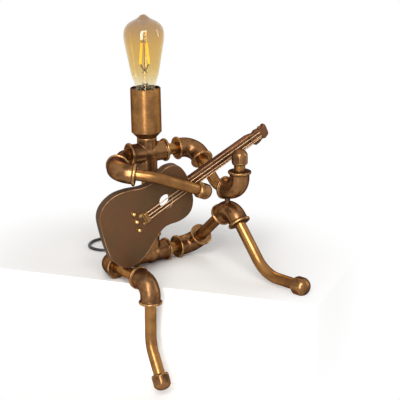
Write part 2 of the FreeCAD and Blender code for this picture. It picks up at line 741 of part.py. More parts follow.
def left_shin():
    """The bent tube from the left knee to the foot that rests on the seat plane."""
    start = mouth(LEFT_KNEE, LEFT_SHIN_WAY, SOCKET_DEPTH - SEAT_GAP)
    end = cap_seat(LEFT_FOOT, LEFT_FOOT_WAY, FOOT_CAP_LENGTH)
    return tube([start, LEFT_ANKLE, end], [SHIN_BEND_R])


def right_shin():
    """The bent tube that hangs from the right knee."""
    start = mouth(RIGHT_KNEE, DOWN, SOCKET_DEPTH - SEAT_GAP)
    end = cap_seat(RIGHT_FOOT, RIGHT_FOOT_WAY, FOOT_CAP_LENGTH)
    return tube([start, RIGHT_ANKLE, end], [SHIN_BEND_R])


def left_arm_tube():
    """The bent tube from the left shoulder to the hand's elbow, behind the neck."""
    start = mouth(LEFT_SHOULDER, LEFT_ARM_WAY, SOCKET_DEPTH - SEAT_GAP)
    end = mouth(LEFT_HAND, LEFT_HAND_WAY * -1, SOCKET_DEPTH - SEAT_GAP)
    return tube([start, LEFT_ARM_CORNER, end], [LEFT_ARM_BEND_R])


HAND_CAP_MIDDLE = LEFT_HAND + UP * (FITTING_END + HAND_NIPPLE_GAP + HAND_CAP_LENGTH / 2)


def hand_nipple():
    """The short upright tube under the left hand's cap."""
    start = mouth(LEFT_HAND, UP, SOCKET_DEPTH - SEAT_GAP)
    end = cap_seat(HAND_CAP_MIDDLE, UP, HAND_CAP_LENGTH)
    return ring(start, UP, TUBE_R, TUBE_R - TUBE_WALL, (end - start).Length)


def hand_weld():
    """The weld spot between the left hand's elbow and the left knee."""
    low = V(LEFT_KNEE.x, LEFT_KNEE.y, LEFT_KNEE.z)
    high = mouth(LEFT_HAND, LEFT_HAND_WAY * -1, BEAD_W / 2)
    middle = (low + high) * 0.5
    post = rod(V(middle.x, middle.y, low.z), UP, WELD_R, high.z - low.z)
    knee = bar([mouth(LEFT_KNEE, LEFT_THIGH_WAY * -1), LEFT_KNEE, mouth(LEFT_KNEE, LEFT_SHIN_WAY)],
               [ELBOW_BEND_R], BODY_R)
    hand = rod(mouth(LEFT_HAND, LEFT_HAND_WAY * -1), LEFT_HAND_WAY, BEAD_R, BEAD_W)
    hand = hand.fuse(rod(mouth(LEFT_HAND, LEFT_HAND_WAY * -1), LEFT_HAND_WAY, BODY_R, FITTING_END))
    pieces = post.cut([knee, hand]).Solids
    return min(pieces, key=lambda piece: abs(piece.CenterOfMass.z - middle.z))


def shoulder_nipple():
    """The bent tube that carries the right arm out and forward from the chest."""
    start = mouth(CHEST, CHEST_SIDE * -1, SOCKET_DEPTH - SEAT_GAP)
    end = mouth(RIGHT_SHOULDER, RIGHT_ARM_WAY * -1, SOCKET_DEPTH - SEAT_GAP)
    return tube([start, RIGHT_ARM_CORNER, end], [RIGHT_ARM_BEND_R])


def forearm_tube():
    """The bent tube of the right forearm, which crosses in front of the guitar."""
    start = mouth(RIGHT_SHOULDER, FOREARM_WAY, SOCKET_DEPTH - SEAT_GAP)
    end = cap_seat(RIGHT_HAND, FOREARM_END_WAY, HAND_CAP_LENGTH)
    return tube([start, FOREARM_CORNER, end], [FOREARM_BEND_R])


CORD_START = RELIEF_TIP - LEAD_IN

# The cord's route from its exit to its coil, points chosen by hand
ROUTE = [V(0, CORD_START, 18.5), V(0, 52, 18.5), V(-4, 71, 10.5), V(-15, 85, 2.5), V(-37, 99, 2.5),
         V(-40, 125, 2.5), V(-19, 145, 3.3), V(8, 145, 3.3)]


def route_radii(points):
    """The arc at each inner point: as large as its two runs allow."""
    radii = []
    for before, corner, after in zip(points, points[1:], points[2:]):
        half = (corner - before).getAngle(after - corner) / 2
        shorter = min((corner - before).Length, (after - corner).Length)
        radii.append(0.45 * shorter / math.tan(half))
    return radii


PLUG_WAY = turned(SIDE, UP, PLUG_ANGLE)


def cord_lead():
    """The free stretch of the cord from the hips to the coil."""
    radii = route_radii(ROUTE)
    print("cord radii", [round(radius, 1) for radius in radii])
    edges = run_edges(ROUTE, radii)
    solid = swept(edges, ROUTE[1] - ROUTE[0], CORD_R)
    length = sum(edge.Length for edge in edges)
    print("cord lead length", round(length, 1), "volume ratio",
          round(solid.Volume / (math.pi * CORD_R ** 2 * length), 4))
    return solid


def coil_place(turn):
    """A point on the coil's middle line after a number of turns, clockwise from its far side."""
    reverse_end = COIL_TURNS_IN + 0.5
    swell = 0.0
    if turn <= COIL_TURNS_IN:
        radius = COIL_START_R - COIL_PITCH * turn
        height = 0.0
    elif turn < reverse_end:
        part = (turn - COIL_TURNS_IN) / 0.5
        swell = COIL_SWELL * math.sin(math.pi * part)
        radius = COIL_START_R - COIL_PITCH * COIL_TURNS_IN - swell
        height = COIL_PITCH * (1 - math.cos(math.pi * part)) / 2
    else:
        radius = COIL_START_R - COIL_PITCH * (COIL_TURNS_IN - (turn - reverse_end))
        height = COIL_PITCH
    angle = math.radians(90 - 360 * turn)
    lift = TIE_THICKNESS + CORD_R + height
    return COIL_CENTRE + V(radius * math.cos(angle), radius * math.sin(angle), lift)


def coil_heading(turn):
    """The coil's direction at a place."""
    step = 0.001
    return unit(coil_place(turn + step) - coil_place(turn - step))


def arc_from(start, heading, end):
    """The arc that leaves a point with a heading and ends at another point."""
    chord = end - start
    way = unit(chord)
    side = heading - way * heading.dot(way)
    if side.Length < 1e-6:
        return Part.LineSegment(start, end).toShape()
    bulge = chord.Length / 2 * math.tan(heading.getAngle(way) / 2)
    return Part.Arc(start, (start + end) * 0.5 + unit(side) * bulge, end).toShape()


def biarc(start, first, end, last):
    """Two tangent arcs between two points with given headings."""
    gap = end - start
    both = first + last
    spread = 2 * (1 - first.dot(last))
    along_both = gap.dot(both)
    reach = (math.sqrt(along_both ** 2 + 2 * spread * gap.dot(gap) / 2) - along_both) / spread
    joint = (start + end + (first - last) * reach) * 0.5
    second = arc_from(end, last * -1, joint)
    return [arc_from(start, first, joint), Part.Arc(joint, second.valueAt(mid_of(second)), end).toShape()]


def mid_of(edge):
    """The middle parameter of an edge."""
    return (edge.FirstParameter + edge.LastParameter) / 2


def coil_edges():
    """The coil's path: a straight lead-in, quarter turns in and out again, and a straight run to the plug."""
    quarters = round(COIL_TURNS * 4)
    turns = [COIL_TURNS * n / quarters for n in range(quarters + 1)]
    places = [coil_place(turn) for turn in turns]
    headings = [coil_heading(turn) for turn in turns]
    headings[0] = SIDE
    edges = [Part.LineSegment(ROUTE[-1], places[0]).toShape()]
    for index in range(quarters):
        edges += biarc(places[index], headings[index], places[index + 1], headings[index + 1])
    out = places[-1] + headings[-1] * PLUG_RUN
    edges += biarc(places[-1], headings[-1], V(out.x, out.y, PLUG_HEIGHT / 2), unit(PLUG_WAY))
    return edges


def least_self_gap(edges, diameter):
    """The least gap between stretches of a path's tube that are well apart along it."""
    points = []
    for edge in edges:
        count = max(3, int(edge.Length / 2.5))
        span = edge.LastParameter - edge.FirstParameter
        points += [edge.valueAt(edge.FirstParameter + span * n / count) for n in range(count)]
    apart = int(6 * diameter / 2.5)
    return min((points[i] - points[j]).Length for i in range(len(points))
               for j in range(i + apart, len(points))) - diameter


def cord_coil():
    """The put-away length of the cord, wound in two layers."""
    edges = coil_edges()
    solid = swept(edges, SIDE, CORD_R)
    length = sum(edge.Length for edge in edges)
    print("coil length", round(length, 1), "least gap", round(least_self_gap(edges, 2 * CORD_R), 2),
          "volume ratio", round(solid.Volume / (math.pi * CORD_R ** 2 * length), 4))
    return solid


def coil_tie():
    """The band that holds the coil's turns together."""
    inner = COIL_START_R - COIL_PITCH * COIL_TURNS_IN - COIL_SWELL - CORD_R - SEAT_GAP
    outer = COIL_START_R + CORD_R + SEAT_GAP
    height = TIE_THICKNESS + 2 * CORD_R + COIL_PITCH + SEAT_GAP
    corner = COIL_CENTRE + V(inner - TIE_THICKNESS, -TIE_WIDTH / 2, 0)
    band = Part.makeBox(outer - inner + 2 * TIE_THICKNESS, TIE_WIDTH, height + TIE_THICKNESS, corner)
    band = band.makeFillet(TIE_ROUND, [edge for edge in band.Edges if edge.BoundBox.YLength > TIE_WIDTH / 2
                                       and edge.BoundBox.ZMin > TIE_THICKNESS])
    space = Part.makeBox(outer - inner, TIE_WIDTH, height - TIE_THICKNESS,
                         corner + V(TIE_THICKNESS, 0, TIE_THICKNESS))
    return band.cut(space)


def on_plug(solid):
    """Moves a solid made flat along +X from the cord's end to the plug's place."""
    end = coil_edges()[-1]
    place = end.valueAt(end.LastParameter)
    moved = solid.copy()
    turn = FreeCAD.Rotation(SIDE, PLUG_WAY)
    moved.Placement = FreeCAD.Placement(place, turn).multiply(moved.Placement)
    return moved


def plug_body():
    """The flat two-pin plug, lying beside the coil."""
    half = PLUG_WIDTH / 2
    outline = [(0, PLUG_TAIL_HALF), (PLUG_LENGTH * 0.45, half * 0.62), (PLUG_LENGTH * 0.6, half),
               (PLUG_LENGTH, half)]
    corners = [V(x, y, -PLUG_HEIGHT / 2) for x, y in outline]
    corners += [V(x, -y, -PLUG_HEIGHT / 2) for x, y in reversed(outline)]
    body = Part.Face(Part.makePolygon(corners + corners[:1])).extrude(UP * PLUG_HEIGHT)
    rims = [edge for edge in body.Edges if edge.BoundBox.ZLength < 0.01 and edge.BoundBox.XLength > 1]
    return on_plug(body.makeChamfer(PLUG_BEVEL, rims))


def plug_pins():
    """The plug's two round pins."""
    start = PLUG_LENGTH
    pins = [rod(V(start, side * PIN_SPACING / 2, 0), SIDE, PIN_R, PIN_LENGTH) for side in (-1, 1)]
    return on_plug(Part.makeCompound(pins))


PARTS = {
    "pelvis_tee": pelvis_tee,
    "cord_grommet": grommet,
    "torso_pipe": torso_pipe,
    "chest_cross": chest_cross,
    "head_cup": head_cup,
    "holder_body": lamp_holder,
    "holder_shell": screw_shell,
    "holder_contact": holder_contact,
    "bulb_cap": bulb_cap,
    "bulb_contact": bulb_contact,
    "bulb_glass": bulb_glass,
    "bulb_stem": bulb_stem,
    "bulb_filaments": bulb_filaments,
    "bulb_wires": bulb_wires,
    "left_hip_nipple": lambda: straight_pipe(HIPS, LEFT_HIP, TUBE_R, TUBE_WALL),
    "left_hip_elbow": lambda: elbow(LEFT_HIP, SIDE * -1, LEFT_THIGH_WAY),
    "left_thigh_tube": lambda: straight_pipe(LEFT_HIP, LEFT_KNEE, TUBE_R, TUBE_WALL),
    "left_knee_elbow": lambda: elbow(LEFT_KNEE, LEFT_THIGH_WAY * -1, LEFT_SHIN_WAY),
    "left_shin_tube": left_shin,
    "left_foot_cap": lambda: cap(LEFT_FOOT, LEFT_FOOT_WAY, FOOT_CAP_FLATS, FOOT_CAP_LENGTH),
    "right_hip_nipple": lambda: straight_pipe(HIPS, RIGHT_HIP, TUBE_R, TUBE_WALL),
    "right_hip_elbow": lambda: elbow(RIGHT_HIP, SIDE, FRONT),
    "right_thigh_tube": lambda: straight_pipe(RIGHT_HIP, RIGHT_KNEE, TUBE_R, TUBE_WALL),
    "right_knee_elbow": lambda: elbow(RIGHT_KNEE, BACK, DOWN),
    "right_shin_tube": right_shin,
    "right_foot_cap": lambda: cap(RIGHT_FOOT, RIGHT_FOOT_WAY, FOOT_CAP_FLATS, FOOT_CAP_LENGTH),
    "left_shoulder_nipple": lambda: straight_pipe(CHEST, LEFT_SHOULDER, TUBE_R, TUBE_WALL),
    "left_shoulder_elbow": lambda: elbow(LEFT_SHOULDER, CHEST_SIDE * -1, LEFT_ARM_WAY),
    "left_arm_tube": left_arm_tube,
    "left_hand_elbow": lambda: elbow(LEFT_HAND, LEFT_HAND_WAY * -1, UP),
    "left_hand_nipple": hand_nipple,
    "left_hand_cap": lambda: cap(HAND_CAP_MIDDLE, UP, HAND_CAP_FLATS, HAND_CAP_LENGTH),
    "left_hand_weld": hand_weld,
    "right_shoulder_nipple": shoulder_nipple,
    "right_shoulder_elbow": lambda: elbow(RIGHT_SHOULDER, RIGHT_ARM_WAY * -1, FOREARM_WAY),
    "right_forearm_tube": forearm_tube,
    "right_hand_cap": lambda: cap(RIGHT_HAND, FOREARM_END_WAY, HAND_CAP_FLATS, HAND_CAP_LENGTH),
    "guitar_body": guitar_body,
    "guitar_neck": guitar_neck,
    "guitar_head": guitar_head,
    "guitar_neck_rod": neck_rod,
    "guitar_bridge": guitar_bridge,
    "guitar_bridge_nuts": bridge_nuts,
    "guitar_nut_bar": nut_bar,
    "guitar_strings": guitar_strings,
    "guitar_balls": guitar_balls,
    "cord_lead": cord_lead,
    "cord_coil": cord_coil,
    "coil_tie": coil_tie,
    "plug_body": plug_body,
    "plug_pins": plug_pins,
}


def main():
    """Builds every piece and writes one STEP file for each."""
    os.makedirs("parts", exist_ok=True)
    for name, make in PARTS.items():
        shape = make()
        if not shape.isValid() or not shape.Solids:
            print("not a valid solid:", name)
        shape.exportStep("parts/" + name + ".step")


main()
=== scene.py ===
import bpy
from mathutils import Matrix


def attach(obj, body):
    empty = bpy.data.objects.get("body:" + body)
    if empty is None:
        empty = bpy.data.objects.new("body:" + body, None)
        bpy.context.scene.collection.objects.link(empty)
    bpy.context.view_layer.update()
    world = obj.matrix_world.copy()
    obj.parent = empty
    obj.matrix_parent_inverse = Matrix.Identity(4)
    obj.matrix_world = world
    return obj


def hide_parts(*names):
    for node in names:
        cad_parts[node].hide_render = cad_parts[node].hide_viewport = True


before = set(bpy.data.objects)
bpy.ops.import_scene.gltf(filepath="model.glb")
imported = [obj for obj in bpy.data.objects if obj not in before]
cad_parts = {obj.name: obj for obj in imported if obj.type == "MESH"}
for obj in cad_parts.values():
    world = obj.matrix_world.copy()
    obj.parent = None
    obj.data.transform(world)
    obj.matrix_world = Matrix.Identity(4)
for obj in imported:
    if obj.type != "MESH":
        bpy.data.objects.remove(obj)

"""Looks for a pipe-fitting lamp: a seated pipe figure that plays a guitar, with a bulb as its head.

Metres, +Z up. The figure faces -Y, its left side is +X, and the origin is on the seat plane. Most new
pieces are drawn in millimetres in a frame of their own, then moved to their place on the lamp.
"""
import logging
import math
from dataclasses import dataclass
from enum import Enum
from typing import Iterable, Sequence

import bmesh
import bpy
import numpy as np
from mathutils import Matrix, Vector

Pair = tuple[float, float]
Point = tuple[float, float, float]
Four = tuple[float, float, float, float]
Material = bpy.types.Material
Piece = bpy.types.Object
Socket = bpy.types.NodeSocket
Tree = bpy.types.NodeTree

LOG = logging.getLogger("pipe_lamp")
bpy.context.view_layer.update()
MM = 0.001
NODE_MERGE = 2e-6
SPIN_MERGE = 1e-6
EDGE_ANGLE = math.radians(50)
RIM_SLOPES = (0.25, 0.97)
WEAR_SHEEN_SHADE_SPREAD = 0.6
SINK = 0.02
CUT_MARGIN = 5.0


class Body(Enum):
    """The rigid bodies that pieces ride on."""

    FIGURE = "figure"
    RIGHT_ARM = "right_arm"
    RIGHT_SHIN = "right_shin"
    BULB = "bulb"


class CordFact(Enum):
    """Words that describe the mains cord."""

    FAR_END = "plug"
    STIFFNESS = "medium"
    LAY = "coiled"


def linear(value: int) -> float:
    """One channel of a screen colour as linear light.

    Args:
        value: The channel, from 0 to 255.

    Returns:
        The linear value, from 0 to 1.
    """
    part = value / 255
    return part / 12.92 if part <= 0.04045 else ((part + 0.055) / 1.055) ** 2.4


def colour(red: int, green: int, blue: int) -> Four:
    """A screen colour as linear RGBA.

    Args:
        red: Red, from 0 to 255.
        green: Green, from 0 to 255.
        blue: Blue, from 0 to 255.

    Returns:
        The opaque colour in linear light.
    """
    return linear(red), linear(green), linear(blue), 1.0


def link_piece(name: str, data: bpy.types.ID) -> Piece:
    """Puts a mesh, a curve, a lamp or a camera into the scene, at the origin.

    Args:
        name: The piece's name.
        data: What it shows.

    Returns:
        The piece.
    """
    piece = bpy.data.objects.new(name, data)
    bpy.context.scene.collection.objects.link(piece)
    return piece


@dataclass(frozen=True)
class View:
    """The photograph's camera."""

    location: Point = (-1.5556, -2.2840, 0.9396)
    forward: Point = (0.5618, 0.7753, -0.2887)
    field_of_view: float = math.radians(12.68)
    nearest: float = 0.1
    furthest: float = 30

    def build(self) -> None:
        """Makes the camera and looks through it."""
        data = bpy.data.cameras.new("camera")
        data.sensor_fit = "AUTO"
        data.angle = self.field_of_view
        data.clip_start = self.nearest
        data.clip_end = self.furthest
        camera = link_piece("camera", data)
        camera.location = self.location
        camera.rotation_mode = "QUATERNION"
        camera.rotation_quaternion = Vector(self.forward).to_track_quat("-Z", "Y")
        bpy.context.scene.camera = camera


def feed(tree: Tree, node: bpy.types.Node, inputs: dict[str | int, object]) -> None:
    """Fills a node's inputs.

    Args:
        tree: The tree the node is in.
        node: The node.
        inputs: What goes in, by name or number: a socket is linked and a value is set.
    """
    for name, value in inputs.items():
        if isinstance(value, bpy.types.NodeSocket):
            tree.links.new(value, node.inputs[name])
        else:
            node.inputs[name].default_value = value


def add_node(tree: Tree, kind: str, inputs: dict[str | int, object], **settings: object) -> bpy.types.Node:
    """Adds a shader node.

    Args:
        tree: The tree it goes into.
        kind: Its type, without the word ShaderNode.
        inputs: What goes into its inputs.
        settings: The node's own settings.

    Returns:
        The node.
    """
    node = tree.nodes.new("ShaderNode" + kind)
    for name, value in settings.items():
        setattr(node, name, value)
    feed(tree, node, inputs)
    return node


def worked_out(tree: Tree, operation: str, *values: Socket | float, clamp: bool = False) -> Socket:
    """The result of a Math node.

    Args:
        tree: The tree it goes into.
        operation: What it does.
        values: Its inputs in order.
        clamp: Whether the result is kept from 0 to 1.

    Returns:
        The result.
    """
    return add_node(tree, "Math", dict(enumerate(values)), operation=operation, use_clamp=clamp).outputs[0]


def fresh_material(name: str) -> tuple[Material, Tree, bpy.types.Node]:
    """An empty material with a Principled BSDF joined to its output.

    Args:
        name: The material's name.

    Returns:
        The material, its node tree and its shader node.
    """
    material = bpy.data.materials.new(name)
    material.use_nodes = True
    return material, material.node_tree, material.node_tree.nodes["Principled BSDF"]


def object_coordinates(tree: Tree) -> Socket:
    """The Object coordinates of a material.

    Args:
        tree: The material's node tree.

    Returns:
        The coordinate socket.
    """
    return tree.nodes.new("ShaderNodeTexCoord").outputs["Object"]


class PatinaGroup:
    """The shader node group for aged bronze paint: blotches, rubbed brightness that is also a painted
    highlight, painted shade in the hollows, and a cast skin.
    """

    NAME = "aged_patina"
    INPUTS = {"NodeSocketVector": ("Vector",), "NodeSocketColor": ("Base", "Dark", "Bright"),
              "NodeSocketFloat": ("Wear_And_Sheen", "Painted_Shade", "Blotch Size", "Skin Size", "Patch Size", "Rough")}
    OUTPUTS = {"NodeSocketColor": ("Color",), "NodeSocketFloat": ("Roughness", "Height")}
    BLOTCH_LIMITS = (0.40, 0.66)
    BLOTCH_SHARE = 0.75
    BLOTCH_ROUGHNESS = 0.12
    PATCH_LIMITS = (0.40, 0.62)
    PATCH_SPAN = 0.95
    PATCH_LEAST = 0.15

    def __init__(self) -> None:
        """Builds the group once."""
        tree = bpy.data.node_groups.new(self.NAME, "ShaderNodeTree")
        self.tree = tree
        for way, sockets in (("INPUT", self.INPUTS), ("OUTPUT", self.OUTPUTS)):
            for kind, names in sockets.items():
                for name in names:
                    tree.interface.new_socket(name, in_out=way, socket_type=kind)
        given = tree.nodes.new("NodeGroupInput").outputs
        blotch = self._ramp(self._noise(given, "Blotch Size", 4.0, 0.62), self.BLOTCH_LIMITS)
        patch = self._ramp(self._noise(given, "Patch Size", 3.0, 0.6), self.PATCH_LIMITS)
        dark = self._mix(given["Base"], given["Dark"], blotch, self.BLOTCH_SHARE)
        # Painted shade: sunken places are darkened towards the dark colour.
        hollow_shaded = self._mix(dark, given["Dark"], given["Painted_Shade"], 1.0)
        # Wear and painted highlight: proud edges are brightened towards the bright colour, in uneven
        # patches.
        uneven = worked_out(tree, "MULTIPLY_ADD", patch, self.PATCH_SPAN, self.PATCH_LEAST)
        wear_sheen_mask = worked_out(tree, "MULTIPLY", given["Wear_And_Sheen"], uneven, clamp=True)
        feed(tree, tree.nodes.new("NodeGroupOutput"), {
            "Color": self._mix(hollow_shaded, given["Bright"], wear_sheen_mask, 1.0),
            "Roughness": worked_out(tree, "MULTIPLY_ADD", blotch, self.BLOTCH_ROUGHNESS, given["Rough"]),
            "Height": self._noise(given, "Skin Size", 3.0, 0.55)})

    def _noise(self, given: Sequence[Socket], size: str, detail: float, rough: float) -> Socket:
        """A noise pattern on the group's vector.

        Args:
            given: The group's inputs.
            size: The input that sets the pattern's scale.
            detail: Octaves.
            rough: Strength of the finer octaves.

        Returns:
            The noise value.
        """
        return add_node(self.tree, "TexNoise", {"Vector": given["Vector"], "Scale": given[size],
                                                "Detail": detail, "Roughness": rough}).outputs["Fac"]

    def _ramp(self, value: Socket, limits: Pair) -> Socket:
        """Stretches a value between two limits to 0 and 1.

        Args:
            value: The value.
            limits: What becomes 0, and what becomes 1.

        Returns:
            The stretched value.
        """
        low, high = limits
        return add_node(self.tree, "MapRange", {"Value": value, "From Min": low, "From Max": high},
                        interpolation_type="SMOOTHSTEP").outputs["Result"]

    def _mix(self, first: Socket, second: Socket, factor: Socket, share: float) -> Socket:
        """Mixes two colours by a mask.

        Args:
            first: The colour where the mask is 0.
            second: The colour where the mask is 1.
            factor: The mask.
            share: How much of the mask counts.

        Returns:
            The mixed colour.
        """
        mask = worked_out(self.tree, "MULTIPLY", factor, share, clamp=True)
        return add_node(self.tree, "Mix", {0: mask, 6: first, 7: second}, data_type="RGBA").outputs[2]


@dataclass(frozen=True)
class BronzeFinish:
    """Aged bronze paint on metal, rubbed bright on the edges with a painted highlight, and darkened in the
    corners with painted shade.
    """

    name: str
    base: Four
    dark: Four
    bright: Four
    roughness: float = 0.34
    metallic: float = 0.9
    blotch_size: float = 38.0
    skin_size: float = 420.0
    patch_size: float = 85.0
    # Painted shade: a dark tint on reflections seen at a slant, which darkens the edges of round parts.
    edge_shade_tint: Four = (0.12, 0.07, 0.05, 1.0)
    bump: float = 0.25
    bump_depth: float = 0.0004

    def material(self, with_wear_sheen_shade: bool = False) -> Material:
        """Builds the material.

        Args:
            with_wear_sheen_shade: Whether the mesh carries the attributes for wear with a painted highlight,
                and for painted shade.

        Returns:
            The material.
        """
        made, tree, shader = fresh_material(self.name + ("_wear_sheen_shade" if with_wear_sheen_shade else ""))
        patina = tree.nodes.new("ShaderNodeGroup")
        patina.node_tree = bpy.data.node_groups.get(PatinaGroup.NAME) or PatinaGroup().tree
        feed(tree, patina, {
            "Vector": object_coordinates(tree), "Base": self.base, "Dark": self.dark, "Bright": self.bright,
            "Blotch Size": self.blotch_size, "Skin Size": self.skin_size, "Patch Size": self.patch_size,
            "Rough": self.roughness, "Wear_And_Sheen": 0.0, "Painted_Shade": 0.0})
        # Wear with a painted highlight, and painted shade, come from the mesh's attributes.
        if with_wear_sheen_shade:
            for name in ("Wear_And_Sheen", "Painted_Shade"):
                attribute = add_node(tree, "Attribute", {}, attribute_name=name.lower())
                feed(tree, patina, {name: attribute.outputs["Fac"]})
        bump = add_node(tree, "Bump", {"Strength": self.bump, "Distance": self.bump_depth,
                                       "Height": patina.outputs["Height"]})
        feed(tree, shader, {
            "Base Color": patina.outputs["Color"], "Roughness": patina.outputs["Roughness"],
            "Normal": bump.outputs["Normal"], "Metallic": self.metallic, "Specular Tint": self.edge_shade_tint})
        return made


@dataclass(frozen=True)
class PlainFinish:
    """A simple moulded or metal finish with a fine speckle in its colour and roughness."""

    name: str
    base: Four
    roughness: float = 0.5
    metallic: float = 0.0
    speckle: float = 0.12
    swing: float = 0.06
    grain: float = 900.0
    bump: float = 0.1
    bump_depth: float = 0.0002
    emission: float = 0.0

    def material(self) -> Material:
        """Builds the material.

        Returns:
            The material.
        """
        made, tree, shader = fresh_material(self.name)
        noise = add_node(tree, "TexNoise", {"Vector": object_coordinates(tree), "Scale": self.grain,
                                            "Detail": 3.0}).outputs["Fac"]
        low, high = ([min(1, channel * share) for channel in self.base[:3]] + [1]
                     for share in (1 - self.speckle, 1 + self.speckle))
        shade = add_node(tree, "Mix", {0: noise, 6: low, 7: high}, data_type="RGBA")
        rough = add_node(tree, "MapRange", {"Value": noise, "To Min": self.roughness - self.swing,
                                            "To Max": self.roughness + self.swing})
        bump = add_node(tree, "Bump", {"Strength": self.bump, "Distance": self.bump_depth, "Height": noise})
        feed(tree, shader, {"Base Color": shade.outputs[2], "Roughness": rough.outputs["Result"],
                            "Normal": bump.outputs["Normal"], "Metallic": self.metallic})
        # Painted glow: the surface gives off light in its own colour.
        if self.emission:
            feed(tree, shader, {"Emission Color": self.base, "Emission Strength": self.emission})
        return made


@dataclass(frozen=True)
class GlassFinish:
    """Thin tinted glass that lets the light through, with tints that change up its height in metres."""

    name: str
    tints: tuple[Four, ...]
    heights: tuple[float, ...]
    cloud: float = 0.02
    cloud_size: float = 16.0
    roughness: float = 0.02
    refraction: float = 1.45

    def material(self) -> Material:
        """Builds the material.

        Returns:
            The material.
        """
        made, tree, shader = fresh_material(self.name)
        coordinates = object_coordinates(tree)
        low, high = self.heights[0], self.heights[-1]
        split = add_node(tree, "SeparateXYZ", {0: coordinates})
        cloud = add_node(tree, "TexNoise", {"Scale": self.cloud_size, "Vector": coordinates})
        uneven = worked_out(tree, "MULTIPLY_ADD", cloud.outputs["Fac"], self.cloud, split.outputs["Z"])
        height = add_node(tree, "MapRange", {"Value": uneven, "From Min": low + self.cloud / 2,
                                             "From Max": high + self.cloud / 2})
        tint = add_node(tree, "ValToRGB", {"Fac": height.outputs["Result"]})
        steps = tint.color_ramp.elements
        while len(steps) < len(self.tints):
            steps.new(0.5)
        for step, place, shade in zip(steps, self.heights, self.tints):
            step.position = (place - low) / (high - low)
            step.color = shade
        feed(tree, shader, {"Base Color": tint.outputs["Color"], "Transmission Weight": 1.0,
                            "Roughness": self.roughness, "IOR": self.refraction})
        return made


# CAST: the bright colour marks wear and a painted highlight on proud edges; the dark colour gives blotches
# and the painted shade in hollows.
CAST = BronzeFinish("cast_bronze", colour(136, 97, 62), colour(60, 40, 30), colour(230, 180, 112),
                    roughness=0.25, skin_size=240.0, bump=0.1)
TUBE = BronzeFinish("tube_bronze", colour(156, 112, 64), colour(98, 66, 42), colour(230, 180, 112),
                    roughness=0.23, blotch_size=22.0, skin_size=140.0, bump=0.015)
# BOARD and NECK: the bright colour on the rounded rims is wear and a painted highlight.
BOARD = BronzeFinish("guitar_brown", colour(88, 61, 41), colour(76, 60, 41), colour(234, 178, 134),
                     roughness=0.5, metallic=0.4, blotch_size=14.0, skin_size=300.0, patch_size=26.0,
                     bump=0.05)
NECK = BronzeFinish("neck_bronze", colour(112, 78, 54), colour(58, 38, 30), colour(224, 176, 132),
                    metallic=0.85, patch_size=60.0)
GOLD = BronzeFinish("bridge_bronze", colour(150, 112, 66), colour(84, 56, 36), colour(232, 188, 120),
                    roughness=0.28, patch_size=160.0)
BRASS = PlainFinish("ball_brass", colour(214, 172, 108), roughness=0.22, metallic=1.0)
STRING = PlainFinish("string_wire", colour(206, 168, 130), roughness=0.28, metallic=1.0)
NUT = PlainFinish("nut_steel", colour(176, 140, 88), roughness=0.3, metallic=1.0)
# Painted glow: the filaments give off light, though the bulb is not switched on.
FILAMENT_GLOW = PlainFinish("filament_yellow", colour(255, 198, 40), emission=1.3)
WIRE = PlainFinish("wire_metal", colour(104, 78, 48), roughness=0.35, metallic=1.0)
CAP_BRASS = PlainFinish("cap_brass", colour(150, 130, 92), roughness=0.36, metallic=1.0)
CONTACT = PlainFinish("contact_metal", colour(190, 186, 178), roughness=0.3, metallic=1.0)
HOLDER = PlainFinish("holder_black", colour(34, 33, 32))
FLEX = PlainFinish("cord_black", colour(22, 22, 23), roughness=0.42)
BUSH = PlainFinish("grommet_black", colour(26, 26, 27), roughness=0.6)
TIE = PlainFinish("tie_black", colour(30, 30, 32), roughness=0.85, grain=2400.0, bump=0.5)
PLUG = PlainFinish("plug_black", colour(24, 24, 26), roughness=0.38)
PIN = PlainFinish("pin_metal", colour(200, 198, 190), roughness=0.2, metallic=1.0)
AMBER = GlassFinish("bulb_amber", (colour(248, 244, 230), colour(232, 212, 160), colour(228, 203, 146),
                                   colour(206, 184, 164)), (0.288, 0.316, 0.362, 0.397))
STEM = GlassFinish("stem_glass", (colour(250, 246, 238), colour(250, 246, 238)), (0.27, 0.33))


def deselect_all() -> None:
    """Leaves no object selected."""
    for item in bpy.context.selected_objects:
        item.select_set(False)


def select_only(piece: Piece) -> None:
    """Selects one piece and makes it the active one.

    Args:
        piece: The piece.
    """
    deselect_all()
    piece.select_set(True)
    bpy.context.view_layer.objects.active = piece


def named(name: str) -> Piece:
    """Names the piece that an operator has just made.

    Args:
        name: The piece's name.

    Returns:
        The piece.
    """
    piece = bpy.context.active_object
    piece.name = name
    return piece


def dress(piece: Piece, material: Material) -> None:
    """Gives a piece one material.

    Args:
        piece: The piece.
        material: Its material.
    """
    piece.data.materials.clear()
    piece.data.materials.append(material)


def dress_nodes(names: Iterable[str], material: Material) -> None:
    """Gives CAD nodes one material.

    Args:
        names: The nodes.
        material: Their material.
    """
    for name in names:
        dress(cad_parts[name], material)
        LOG.info("dressed %s", name)


def merged_copy(node: str, name: str) -> Piece:
    """A copy of a CAD node with its loose triangles joined.

    Args:
        node: The CAD node.
        name: The copy's name.

    Returns:
        The copy, linked to the scene.
    """
    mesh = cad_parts[node].data.copy()
    form = bmesh.new()
    form.from_mesh(mesh)
    bmesh.ops.remove_doubles(form, verts=form.verts, dist=NODE_MERGE)
    form.to_mesh(mesh)
    form.free()
    return link_piece(name, mesh)


def apply_modifiers(piece: Piece) -> None:
    """Applies all of a piece's modifiers in order.

    Args:
        piece: The piece.
    """
    select_only(piece)
    for modifier in list(piece.modifiers):
        bpy.ops.object.modifier_apply(modifier=modifier.name)


def settle(piece: Piece, place: Matrix) -> None:
    """Moves a piece's place into its mesh, then to its place on the lamp.

    Args:
        piece: The piece.
        place: From the piece's own frame to the lamp's.
    """
    piece.data.transform(place @ piece.matrix_basis)
    piece.matrix_basis = Matrix.Identity(4)


